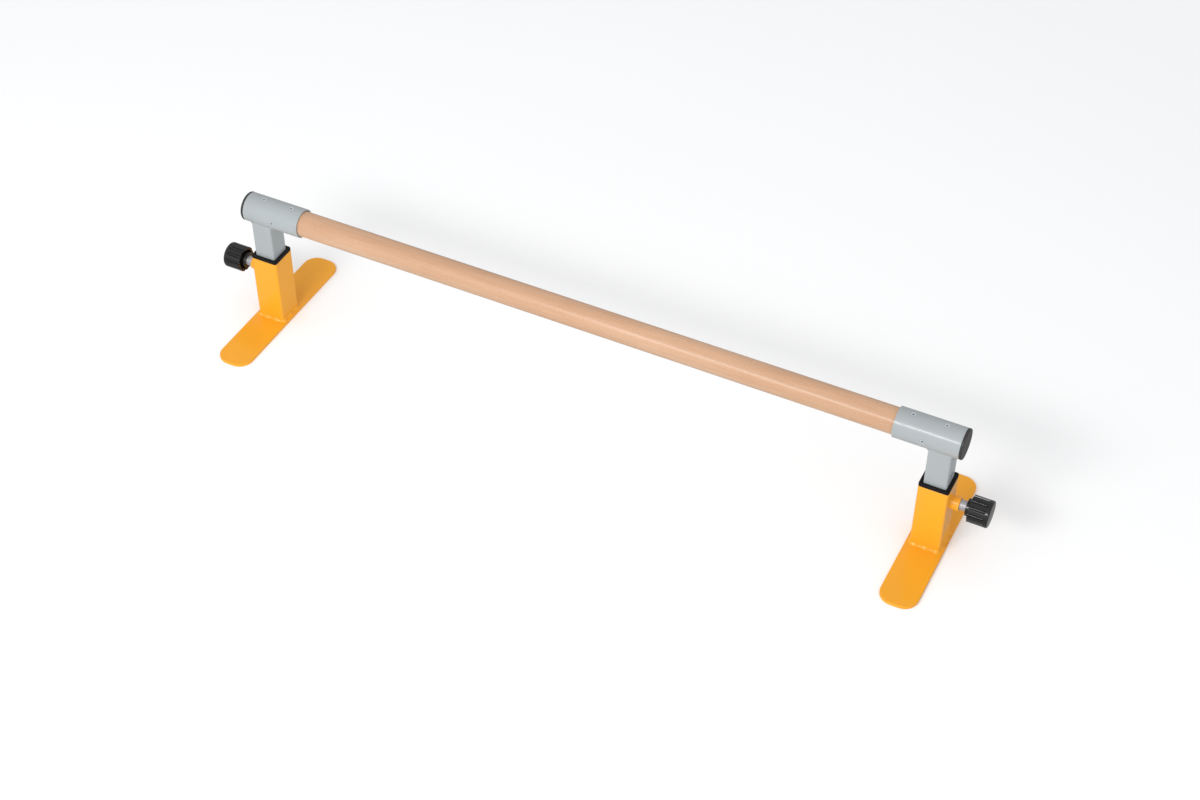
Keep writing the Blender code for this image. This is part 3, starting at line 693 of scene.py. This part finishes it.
def make_screw_tree():
    """Sets four copies of a screw into a sleeve: two on top, one at the front, one at the back."""
    net, given = geometry_tree(
        "sleeve_screws",
        {
            "Sleeve Radius": SLEEVE_RADIUS, "Axis Height": RAIL_AXIS_HEIGHT,
            "Top Reach": SCREW_TOP_REACH, "Top Pitch": SCREW_TOP_PITCH,
            "Side Reach": SCREW_SIDE_REACH,
        },
    )
    top = net.math("ADD", given["Axis Height"], given["Sleeve Radius"])
    inputs = {
        "Count": 2, "Start Location": net.joined(x=given["Top Reach"], z=top),
        "Offset": net.joined(x=net.math("MULTIPLY", given["Top Pitch"], -1.0)),
    }
    line = net.add("GeometryNodeMeshLine", inputs).outputs[0]
    places = [(line, (0.0, 0.0, 0.0))]
    for side in (-1.0, 1.0):
        across = net.math("MULTIPLY", given["Sleeve Radius"], side)
        place = net.joined(given["Side Reach"], across, given["Axis Height"])
        point = net.add("GeometryNodePoints", {"Count": 1, "Position": place}).outputs[0]
        places.append((point, (-side * QUARTER, SCREW_SIDE_TURN, 0.0)))
    join = net.add("GeometryNodeJoinGeometry")
    for points, turn in places:
        inputs = {"Points": points, "Instance": given["Geometry"], "Rotation": turn}
        net.feed(join.inputs[0], net.add("GeometryNodeInstanceOnPoints", inputs).outputs[0])
    return realized(net, given, join.outputs[0])


def make_weld_tree():
    """Ripples and slow lumps on a weld. Its attribute "along" runs from 0 to 1 round it, and
    "across" from 0 to 1 over its hollow face."""
    net, given = geometry_tree(
        "weld_ripples",
        {
            "Lumps": 12.0, "Lump Depth": 0.0002, "Ripples": 46.0, "Ripple Depth": 0.00003,
            "Uneven Depth": 0.0004, "Seed": 3.0,
        },
    )
    along, across = [
        net.add("GeometryNodeInputNamedAttribute", {"Name": label}, data_type="FLOAT").outputs[0]
        for label in ("along", "across")
    ]
    turns = net.math("MULTIPLY", along, math.tau)
    lumps = net.math("SINE", net.math("MULTIPLY", turns, given["Lumps"]))
    height = net.math("MULTIPLY", given["Lump Depth"], lumps)
    ripples = net.math("MULTIPLY", turns, given["Ripples"])
    bowed = net.math("SINE", net.math("MULTIPLY_ADD", across, WELD_RIPPLE_BOW, ripples))
    height = net.math("MULTIPLY_ADD", bowed, given["Ripple Depth"], height)
    inputs = {"Scale": WELD_NOISE_SCALE, "W": given["Seed"], "Detail": 2.0}
    noise = net.add("ShaderNodeTexNoise", inputs, noise_dimensions="4D").outputs[0]
    uneven = net.math("SUBTRACT", noise, 0.5)
    height = net.math("MULTIPLY_ADD", uneven, given["Uneven Depth"], height)
    middle = net.math("SINE", net.math("MULTIPLY", across, math.pi))
    normal = net.add("GeometryNodeInputNormal").outputs[0]
    inputs = {0: normal, "Scale": net.math("MULTIPLY", height, middle)}
    offset = net.add("ShaderNodeVectorMath", inputs, operation="SCALE").outputs[0]
    inputs = {"Geometry": given["Geometry"], "Offset": offset}
    return realized(net, given, net.add("GeometryNodeSetPosition", inputs).outputs[0])


def weld_mesh(wall, rows, seat, root):
    """A closed weld. The rows are rings of points on its hollow face, from one part to the
    other. The wall, the seat and the root are rings sunk into the two parts and into the
    corner between them."""
    mesh = skin([wall, *rows, seat, root], loop=True)
    along = mesh.attributes.new("along", "FLOAT", "POINT")
    across = mesh.attributes.new("across", "FLOAT", "POINT")
    count = len(wall)
    for index in range(len(mesh.vertices)):
        row = index // count
        along.data[index].value = (index % count) / count
        across.data[index].value = min(max((row - 1) / (len(rows) - 1), 0.0), 1.0)
    return mesh


def make_knob_tree():
    """Presses rounded flutes into a turned knob that lies along X, up to a smooth rim. Between
    the flutes their wall is put clear of the knob, so that nothing is pressed there."""
    net, given = geometry_tree(
        "fluted_knob",
        {
            "Axis Height": PIN_HEIGHT, "Flute Count": FLUTE_COUNT, "Flute Radius": FLUTE_RADIUS,
            "Flute Depth": FLUTE_DEPTH, "Knob Radius": KNOB_RADIUS,
            "Flute End": FLUTE_END_REACH, "Run Out": FLUTE_RUN_OUT,
            "Edge Softness": FLUTE_SOFTNESS,
        },
    )
    parts = net.split(net.add("GeometryNodeInputPosition").outputs[0])
    up = net.math("SUBTRACT", parts[2], given["Axis Height"])
    squares = net.math("ADD", net.math("POWER", parts[1], 2.0), net.math("POWER", up, 2.0))
    radius = net.math("SQRT", squares)
    angle = net.math("ARCTAN2", parts[1], up)
    pitch = net.math("DIVIDE", math.tau, given["Flute Count"])
    half_pitch = net.math("MULTIPLY", pitch, 0.5)
    from_flute = net.math("SUBTRACT", net.math("FLOORED_MODULO", angle, pitch), half_pitch)
    floor = net.math("SUBTRACT", given["Knob Radius"], given["Flute Depth"])
    centre = net.math("ADD", floor, given["Flute Radius"])
    aside = net.math("MULTIPLY", centre, net.math("SINE", from_flute))
    flute_square = net.math("POWER", given["Flute Radius"], 2.0)
    inside = net.math("SUBTRACT", flute_square, net.math("POWER", aside, 2.0))
    chord = net.math("SQRT", net.math("MAXIMUM", inside, 0.0))
    ahead = net.math("MULTIPLY", centre, net.math("COSINE", from_flute))
    wall = net.math("SUBTRACT", ahead, chord)
    clear = net.math("MULTIPLY", net.math("LESS_THAN", inside, 0.0), FLUTE_CLEARANCE)
    run_out_start = net.math("SUBTRACT", given["Flute End"], given["Run Out"])
    past = net.math("SUBTRACT", parts[0], run_out_start)
    share = net.math("MAXIMUM", net.math("DIVIDE", past, given["Run Out"]), 0.0)
    rise = net.math("MULTIPLY", net.math("POWER", share, 2.0), given["Flute Depth"])
    flute = net.math("ADD", net.math("ADD", wall, clear), rise)
    pressed = net.math("SMOOTH_MIN", radius, flute, given["Edge Softness"])
    factor = net.math("DIVIDE", pressed, net.math("MAXIMUM", radius, TINY))
    z = net.math("MULTIPLY_ADD", up, factor, given["Axis Height"])
    place = net.joined(parts[0], net.math("MULTIPLY", parts[1], factor), z)
    inputs = {"Geometry": given["Geometry"], "Position": place}
    return realized(net, given, net.add("GeometryNodeSetPosition", inputs).outputs[0])


def make_spring_tree():
    """A coil spring along X on the pull pin's axis, drawn without the mesh that it is given."""
    net, given = geometry_tree(
        "coil_spring",
        {
            "Turns": SPRING_TURNS, "Mean Radius": SPRING_MEAN_RADIUS,
            "Wire Radius": SPRING_WIRE_RADIUS, "Length": 0.01, "Start Reach": 0.04,
            "Axis Height": PIN_HEIGHT,
        },
    )
    inputs = {
        "Resolution": SPRING_TURN_POINTS, "Rotations": given["Turns"],
        "Start Radius": given["Mean Radius"], "End Radius": given["Mean Radius"],
        "Height": given["Length"],
    }
    spiral = net.add("GeometryNodeCurveSpiral", inputs).outputs[0]
    inputs = {"Resolution": SPRING_WIRE_POINTS, "Radius": given["Wire Radius"]}
    circle = net.add("GeometryNodeCurvePrimitiveCircle", inputs).outputs[0]
    inputs = {"Curve": spiral, "Profile Curve": circle, "Fill Caps": True}
    wire = net.add("GeometryNodeCurveToMesh", inputs).outputs[0]
    place = net.joined(x=given["Start Reach"], z=given["Axis Height"])
    inputs = {"Geometry": wire, "Translation": place, "Rotation": (0.0, QUARTER, 0.0)}
    return realized(net, given, net.add("GeometryNodeTransform", inputs).outputs[0])


# Pieces of the bar

def add_rail():
    half = COLUMN_SPACING / 2 + RAIL_END_REACH
    inset = half - RAIL_ROUNDING
    core = RAIL_RADIUS - RAIL_ROUNDING
    profile = [(-half, 0.0), (-half, 0.6 * RAIL_RADIUS)]
    profile += arc((-inset, core), RAIL_ROUNDING, 2, 1, 4)
    profile += even((-inset, RAIL_RADIUS), (inset, RAIL_RADIUS), RAIL_STEP)
    profile += arc((inset, core), RAIL_ROUNDING, 1, 0, 4)[1:]
    profile += [(half, 0.6 * RAIL_RADIUS), (half, 0.0)]
    mesh = evened(turned(profile, RAIL_SEGMENTS, height=RAIL_AXIS_HEIGHT))
    add_piece("beech_rail", mesh, "lacquered_beech", "bar", ["rail"])


def screw_profile(grow):
    """(height, radius) down a countersunk screw, from the sleeve's surface at height 0. With
    grow it is the screw's hole, larger by so much."""
    head = SCREW_HEAD_RADIUS + grow
    shank = SCREW_RADIUS + grow
    rim = -SCREW_SINK
    neck = rim - (SCREW_HEAD_RADIUS - SCREW_RADIUS)
    low = rim - SCREW_LENGTH - grow
    top = [(rim + rise, share * head) for rise, share in SCREW_DOME]
    if grow:
        top = [(SCREW_HOLE_RISE, 0.0), (SCREW_HOLE_RISE, head)]
    return [*top, (rim, head), (neck, shank), (low + SCREW_POINT, shank), (low, 0.0)]


def cross_recess():
    """The tapering four-armed hole in a screw's head."""
    rings = []
    for height, reach, half_width in RECESS_ENDS:
        arm = [(reach, -half_width), (reach, half_width), (half_width, half_width)]
        ring = []
        for quarter in range(4):
            cos, sin = math.cos(quarter * QUARTER), math.sin(quarter * QUARTER)
            ring += [(x * cos - y * sin, x * sin + y * cos, height) for x, y in arm]
        rings.append(ring)
    return skin(rings)


def screw_holes():
    """The clearance holes of one sleeve's screws, each with its countersink."""
    hole = upright(screw_profile(GAP), SMALL_SEGMENTS)
    to_surface = Matrix.Translation((0.0, 0.0, SLEEVE_RADIUS))
    places = [
        (SCREW_TOP_REACH, 0.0), (SCREW_TOP_REACH - SCREW_TOP_PITCH, 0.0),
        (SCREW_SIDE_REACH, QUARTER), (SCREW_SIDE_REACH, -QUARTER),
    ]
    holes = []
    for reach, angle in places:
        to_axis = Matrix.Translation((reach, 0.0, RAIL_AXIS_HEIGHT))
        holes.append(moved(hole, to_axis @ Matrix.Rotation(angle, 4, "X") @ to_surface))
    return holes


def add_sleeves():
    bevel = 0.2 * (SLEEVE_RADIUS - SLEEVE_BORE_RADIUS)
    r = SLEEVE_ROUNDING
    core = SLEEVE_RADIUS - r
    inner, outer = SLEEVE_INNER_REACH, SLEEVE_OUTER_REACH
    profile = arc((inner + r, core), r, 2, 1, 4)
    profile += even((inner + r, SLEEVE_RADIUS), (outer - r, SLEEVE_RADIUS), SLEEVE_STEP)
    profile += arc((outer - r, core), r, 1, 0, 4)[1:]
    profile += [(outer, SLEEVE_BORE_RADIUS + bevel), (outer - bevel, SLEEVE_BORE_RADIUS)]
    profile += [(inner + bevel, SLEEVE_BORE_RADIUS), (inner, SLEEVE_BORE_RADIUS + bevel)]
    tube = turned(profile, RAIL_SEGMENTS, loop=True, height=RAIL_AXIS_HEIGHT)
    add_both("sleeve_tube", carved(tube, screw_holes()), "grey_powder_coat", "bar", ["{}_sleeve"])


def add_caps():
    back = SLEEVE_OUTER_REACH + GAP
    face = back + CAP_FLANGE
    end = back - CAP_PLUG_LENGTH
    plug = SLEEVE_BORE_RADIUS - GAP
    root = plug - CAP_FIN_DEPTH
    inner = plug - CAP_PLUG_WALL
    r = CAP_ROUNDING
    profile = [(face, 0.0), (face, 0.4 * SLEEVE_RADIUS)]
    profile += arc((face - r, SLEEVE_RADIUS - r), r, 0, 1, 6)
    profile += [(back + FINE_BEVEL, SLEEVE_RADIUS), (back, SLEEVE_RADIUS - FINE_BEVEL)]
    profile.append((back, root))
    pitch = CAP_PLUG_LENGTH / (CAP_FIN_COUNT + 0.5)
    for fin in range(CAP_FIN_COUNT):
        top = back - (fin + 0.5) * pitch
        profile += [(top - down * pitch, plug - depth * CAP_FIN_DEPTH) for down, depth in CAP_FIN]
    profile += [(end, root), (end, inner), (back, inner), (back, 0.0)]
    mesh = turned(profile, ROUND_SEGMENTS, height=RAIL_AXIS_HEIGHT)
    add_both("end_cap_disc", mesh, "cap_plastic", "bar", ["{}_end_cap"])


def add_screws():
    screw = carved(upright(screw_profile(0.0), SMALL_SEGMENTS), [cross_recess()])
    # Painted shade: each point's darkness in the cross recess, from its depth below the head's rim
    sunk = screw.attributes.new("sunk", "FLOAT", "POINT")
    for vertex, item in zip(screw.vertices, sunk.data):
        depth = -SCREW_SINK - RECESS_SHADE_START - vertex.co.z
        item.value = min(max(depth / RECESS_SHADE_DEPTH, 0.0), 1.0)
    nodes = [f"{{}}_screw_{place}" for place in ("outer_top", "inner_top", "front", "rear")]
    mesh = grown(make_screw_tree(), screw, "bright_zinc")
    add_both("sleeve_screws", mesh, "bright_zinc", "bar", nodes)


def saddle(points, radius):
    """Lifts points (x, y) to the underside of a cylinder of that radius round the rail's axis."""
    return [(x, y, RAIL_AXIS_HEIGHT - math.sqrt(radius**2 - y**2)) for x, y in points]


def post_weld_section(point, out):
    """One section of the weld between post and sleeve, hollowed by a ball that touches both:
    the post at its outline's point and the sleeve, with the ball's centre above the point out.
    Its first and last points are sunk into the two parts."""
    reach = SLEEVE_RADIUS + POST_WELD_RADIUS
    centre = Vector((out.x, out.y, RAIL_AXIS_HEIGHT - math.sqrt(reach**2 - out.y**2)))
    wall = Vector((point.x - out.x, point.y - out.y, 0.0))
    seat = Vector((0.0, -out.y, RAIL_AXIS_HEIGHT - centre.z)) * (POST_WELD_RADIUS / reach)
    section = [centre + wall * (1 + WELD_SINK / wall.length)]
    for step in range(WELD_ROWS + 1):
        share = step / WELD_ROWS
        length = wall.length + (seat.length - wall.length) * share
        section.append(centre + length * wall.normalized().slerp(seat.normalized(), share))
    section.append(centre + seat * (1 + WELD_SINK / seat.length))
    return section


def index_holes():
    """Cutters for the holes in the post's outer wall, bevelled where the pin enters."""
    face, bevel = POST_SIDE / 2, FINE_BEVEL
    mouth = INDEX_HOLE_RADIUS + 2 * bevel
    profile = [
        (POST_SIDE / 4, 0.0), (POST_SIDE / 4, INDEX_HOLE_RADIUS),
        (face - bevel, INDEX_HOLE_RADIUS), (face + bevel, mouth),
        (POST_SIDE, mouth), (POST_SIDE, 0.0),
    ]
    return [
        turned(profile, SMALL_SEGMENTS, height=PIN_HEIGHT + step * INDEX_PITCH)
        for step in INDEX_STEPS
    ]


def add_posts(weld_tree):
    counts = {"per_corner": 8, "per_flat": 18}
    outer = square(POST_SIDE, POST_CORNER, **counts)
    inner = square(POST_SIDE - 2 * POST_WALL, POST_CORNER - POST_WALL / 2, **counts)
    low = square(POST_SIDE - 2 * FINE_BEVEL, POST_CORNER - FINE_BEVEL, **counts)
    top = SLEEVE_RADIUS + GAP
    rings = [
        level(low, POST_BOTTOM), level(outer, POST_BOTTOM + FINE_BEVEL),
        level(outer, POST_STRAIGHT_TOP), saddle(outer, top), saddle(inner, top),
        level(inner, POST_STRAIGHT_TOP), level(inner, POST_BOTTOM),
    ]
    tube = carved(skin(rings, loop=True), index_holes())
    add_both("post_tube", tube, "grey_powder_coat", "bar", ["{}_post"])
    counts = {"per_corner": 14, "per_flat": 40}
    near = square(POST_SIDE, POST_CORNER, **counts)
    far = square(POST_SIDE + 2 * POST_WELD_RADIUS, POST_CORNER, **counts)
    sections = [post_weld_section(Vector(point), Vector(out)) for point, out in zip(near, far)]
    wall, *rows, seat = zip(*sections)
    sunk = square(POST_SIDE - 2 * WELD_SINK, POST_CORNER - WELD_SINK, **counts)
    blank = weld_mesh(wall, rows, seat, saddle(sunk, SLEEVE_RADIUS - WELD_SINK))
    weld = grown(weld_tree, blank, "grey_powder_coat", POST_WELD_RIPPLES)
    add_both("post_weld", weld, "grey_powder_coat", "bar", [])


def add_plates():
    sides = (PLATE_WIDTH, PLATE_LENGTH, PLATE_CORNER)
    low = rounded_edge(*sides, 0.0, PLATE_LOW_ROUNDING, -1, per_corner=24)
    high = rounded_edge(*sides, PLATE_THICKNESS, PLATE_ROUNDING, 1, per_corner=24)
    mesh = skin(low[::-1] + high)
    add_both("foot_plate", mesh, "yellow_powder_coat", "{}_foot", ["{}_base_plate"])


def barrel_hole():
    """A cutter for the hole in which the barrel passes through the column and the bush."""
    radius = BARREL_RADIUS + GAP
    profile = [(COLUMN_SIDE / 4, 0.0), (COLUMN_SIDE / 4, radius)]
    profile += [(COLUMN_SIDE, radius), (COLUMN_SIDE, 0.0)]
    return turned(profile, SMALL_SEGMENTS, height=PIN_HEIGHT)


def add_columns(weld_tree):
    counts = {"per_corner": 8, "per_flat": 6}
    outer = square(COLUMN_SIDE, COLUMN_CORNER, **counts)
    outer_top = square(COLUMN_SIDE - 2 * COLUMN_BEVEL, COLUMN_CORNER - COLUMN_BEVEL, **counts)
    inner = square(COLUMN_SIDE - 2 * COLUMN_WALL, COLUMN_CORNER - COLUMN_WALL, **counts)
    low = PLATE_THICKNESS + GAP
    rings = [
        level(outer, low), level(outer, COLUMN_TOP - COLUMN_BEVEL),
        level(outer_top, COLUMN_TOP), level(inner, COLUMN_TOP), level(inner, low),
    ]
    tube = carved(skin(rings, loop=True), [barrel_hole()])
    add_both("column_tube", tube, "yellow_powder_coat", "{}_foot", ["{}_column"])
    ball = COLUMN_WELD_RADIUS
    counts = {"per_corner": 14, "per_flat": 60}
    rows = []
    for step in range(WELD_ROWS + 1):
        angle = step / WELD_ROWS * QUARTER
        grow = ball * (1 - math.cos(angle))
        rim = square(COLUMN_SIDE + 2 * grow, COLUMN_CORNER + grow, **counts)
        rows.append(level(rim, PLATE_THICKNESS + ball * (1 - math.sin(angle))))
    sunk = square(COLUMN_SIDE - 2 * WELD_SINK, COLUMN_CORNER - WELD_SINK, **counts)
    wall = level(sunk, PLATE_THICKNESS + ball)
    seat = level(rim, PLATE_THICKNESS - WELD_SINK)
    root = level(sunk, PLATE_THICKNESS - WELD_SINK)
    blank = weld_mesh(wall, rows, seat, root)
    weld = grown(weld_tree, blank, "yellow_powder_coat", COLUMN_WELD_RIPPLES)
    add_both("column_weld", weld, "yellow_powder_coat", "{}_foot", [])


def add_bushes():
    low = COLUMN_TOP + GAP
    high = low + BUSH_FLANGE
    skirt_end = low - BUSH_SKIRT
    bore_side = POST_SIDE + 2 * GAP
    bore = square(bore_side, POST_CORNER)
    mouth = square(bore_side + 2 * BUSH_LEAD_IN, POST_CORNER + BUSH_LEAD_IN)
    skirt = square(COLUMN_SIDE - 2 * COLUMN_WALL - 2 * GAP, COLUMN_CORNER - COLUMN_WALL)
    sides = (COLUMN_SIDE, COLUMN_SIDE, COLUMN_CORNER)
    rings = rounded_edge(*sides, low, FINE_BEVEL, -1)[::-1]
    rings += rounded_edge(*sides, high, BUSH_ROUNDING, 1)
    rings += [level(mouth, high), level(bore, high - 2 * BUSH_LEAD_IN)]
    rings += [level(bore, skirt_end), level(skirt, skirt_end), level(skirt, low)]
    mesh = carved(skin(rings, loop=True), [barrel_hole()])
    add_both("bush_collar", mesh, "bush_plastic", "{}_foot", ["{}_guide_bush"])


def add_bosses():
    low = COLUMN_SIDE / 2 - GAP
    high = COLUMN_SIDE / 2 + GAP + BOSS_LENGTH
    bore = BARREL_RADIUS + GAP
    r = BOSS_ROUNDING
    profile = [(low, bore)]
    profile += arc((low + BOSS_WELD, BOSS_RADIUS + BOSS_WELD), BOSS_WELD, 2, 3, 6)
    profile += arc((high - r, BOSS_RADIUS - r), r, 1, 0, 5)
    profile += [(high, bore + FINE_BEVEL), (high - FINE_BEVEL, bore)]
    mesh = turned(profile, ROUND_SEGMENTS, loop=True, height=PIN_HEIGHT)
    add_both("boss_ring", mesh, "yellow_powder_coat", "{}_foot", ["{}_plunger_boss"])


def add_barrels():
    bore = PIN_RADIUS + GAP
    nose, end = BARREL_NOSE_REACH, BARREL_END_REACH
    shoulder = nose + BARREL_SHOULDER
    rear = end - BARREL_REAR_WALL
    r = BARREL_ROUNDING
    profile = [(nose, bore)]
    profile += arc((nose + r, BARREL_RADIUS - r), r, 2, 1, 3)
    profile += arc((end - r, BARREL_RADIUS - r), r, 1, 0, 3)
    profile += [(end, bore), (rear, bore), (rear, BARREL_CHAMBER_RADIUS)]
    profile += [(shoulder, BARREL_CHAMBER_RADIUS), (shoulder, bore)]
    mesh = turned(profile, ROUND_SEGMENTS, loop=True, height=PIN_HEIGHT)
    add_both("barrel_shank", mesh, "satin_zinc", "{}_plunger", ["{}_plunger_barrel"])


def add_pins():
    tip = POST_SIDE / 2 + GAP
    low, high = PIN_COLLAR_REACH, PIN_COLLAR_REACH + PIN_COLLAR_LENGTH
    profile = [(tip, 0.0)]
    profile += [(tip + reach, PIN_RADIUS - slimmer) for reach, slimmer in PIN_TIP]
    profile += [(low, PIN_RADIUS), (low, PIN_COLLAR_RADIUS)]
    profile += [(high, PIN_COLLAR_RADIUS), (high, PIN_RADIUS)]
    profile += [(PIN_END_REACH, PIN_RADIUS), (PIN_END_REACH, 0.0)]
    mesh = turned(profile, SMALL_SEGMENTS, height=PIN_HEIGHT)
    add_both("locking_pin", mesh, "satin_zinc", "{}_knob", ["{}_plunger_pin"])


def add_springs():
    low = PIN_COLLAR_REACH + PIN_COLLAR_LENGTH + GAP + SPRING_WIRE_RADIUS
    high = BARREL_END_REACH - BARREL_REAR_WALL - GAP - SPRING_WIRE_RADIUS
    sizes = {"Length": high - low, "Start Reach": low}
    mesh = grown(make_spring_tree(), bpy.data.meshes.new("spring"), "spring_wire", sizes)
    for label, side in SIDES:
        matrix = end_matrix(side)
        spring = add_piece(
            f"{label}_return_spring", evened(moved(mesh, matrix)), "spring_wire", None,
            [f"{label}_plunger_spring"],
        )
        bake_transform(spring)


def add_knobs():
    hub, back, end = KNOB_HUB_REACH, KNOB_BACK_REACH, KNOB_END_REACH
    blind_end = PIN_END_REACH + GAP
    recess_end = back + KNOB_RECESS_DEPTH
    bore = BARREL_RADIUS + GAP
    seat = PIN_RADIUS + GAP
    recess_edge = KNOB_RECESS_RADIUS + FINE_BEVEL
    r = KNOB_BACK_ROUNDING
    rim = end - KNOB_ROUNDING
    face = KNOB_RADIUS - KNOB_ROUNDING
    profile = [(blind_end, 0.0), (blind_end, seat), (KNOB_BORE_END, seat)]
    profile += [(KNOB_BORE_END, bore), (hub + FINE_BEVEL, bore), (hub, bore + FINE_BEVEL)]
    profile += arc((hub + r, KNOB_HUB_RADIUS - r), r, 2, 1, 3)
    profile += [(recess_end, KNOB_HUB_RADIUS), (recess_end, KNOB_RECESS_RADIUS)]
    profile += [(back + FINE_BEVEL, KNOB_RECESS_RADIUS), (back, recess_edge)]
    profile += even((back, recess_edge), (back, KNOB_RADIUS - r), KNOB_BACK_STEP)
    profile += arc((back + r, KNOB_RADIUS - r), r, 2, 1, 3)[1:]
    profile += even((back + r, KNOB_RADIUS), (rim, KNOB_RADIUS), KNOB_SIDE_STEP)
    profile += arc((rim, face), KNOB_ROUNDING, 1, 0, 8)[1:]
    profile += [(end + KNOB_DOME * (1 - share**2), share * face) for share in KNOB_DOME_SHARES]
    profile.append((end + KNOB_DOME, 0.0))
    blank = turned(profile, KNOB_SEGMENTS, height=PIN_HEIGHT)
    mesh = grown(make_knob_tree(), blank, "knob_plastic")
    add_both("knob_grip", mesh, "knob_plastic", "{}_knob", ["{}_pull_knob"])


# Camera, floor and light

def add_camera():
    data = bpy.data.cameras.new("camera")
    data.lens = LENS
    data.sensor_width = SENSOR
    data.clip_end = CAMERA_FAR
    camera = new_object("camera", data)
    camera.location = CAMERA_PLACE
    camera.rotation_euler = Euler([math.radians(angle) for angle in CAMERA_TURN], "XYZ")
    bpy.context.scene.camera = camera


def add_floor():
    """A pale floor, which glossy pieces mirror as a darker one."""
    mesh = bpy.data.meshes.new("studio_floor")
    corners = [(-1, -1), (1, -1), (1, 1), (-1, 1)]
    corners = [(x * FLOOR_REACH, y * FLOOR_REACH, 0) for x, y in corners]
    mesh.from_pydata(corners, [], [(0, 1, 2, 3)])
    floor = new_object("studio_floor", mesh)
    material = bpy.data.materials.new("pale_floor")
    material.use_nodes = True
    net = Wiring(material.node_tree)
    shader = material.node_tree.nodes["Principled BSDF"]
    tone = net.noise(net.add("ShaderNodeTexCoord").outputs["Object"], 1.3, 2.0)
    pale = net.mix(tone, rgba(0.965, 0.965, 0.965), rgba(0.98, 0.98, 0.98))
    reflected = net.add("ShaderNodeLightPath").outputs["Is Glossy Ray"]
    net.feed(shader.inputs["Base Color"], net.mix(reflected, pale, rgba(0.42, 0.42, 0.42)))
    shader.inputs["Roughness"].default_value = 0.9
    shader.inputs["Specular IOR Level"].default_value = 0.1
    mesh.materials.append(material)


def add_area_light(name, place, size, power):
    data = bpy.data.lights.new(name, "AREA")
    data.shape = "ELLIPSE"
    data.size, data.size_y = size
    data.energy = power
    light = new_object(name, data)
    light.location = place
    aim = Vector(LIGHT_AIM) - Vector(place)
    light.rotation_euler = aim.to_track_quat("-Z", "Y").to_euler()


def add_light():
    """Soft light from all round, a little stronger from the front and from below, and dimmed
    where glossy pieces mirror it, with the lights in front."""
    world = bpy.data.worlds.new("studio")
    bpy.context.scene.world = world
    world.use_nodes = True
    net = Wiring(world.node_tree)
    background = world.node_tree.nodes["Background"]
    background.inputs["Color"].default_value = rgba(0.98, 0.99, 1.0)
    parts = net.split(net.add("ShaderNodeTexCoord").outputs["Generated"])
    from_front = net.math("MULTIPLY_ADD", parts[1], -0.2, 0.955)
    strength = net.math("MULTIPLY_ADD", parts[2], -0.15, from_front)
    reflected = net.add("ShaderNodeLightPath").outputs["Is Glossy Ray"]
    dimmed = net.math("MULTIPLY_ADD", reflected, -0.3, 1.0)
    net.feed(background.inputs["Strength"], net.math("MULTIPLY", strength, dimmed))
    for light in LIGHTS:
        add_area_light(*light)
    bpy.context.scene.view_settings.view_transform = "Standard"


def build():
    add_camera()
    add_rail()
    add_sleeves()
    add_caps()
    add_screws()
    weld_tree = make_weld_tree()
    add_posts(weld_tree)
    add_plates()
    add_columns(weld_tree)
    add_bushes()
    add_bosses()
    add_barrels()
    add_pins()
    add_springs()
    add_knobs()
    add_floor()
    add_light()


build()
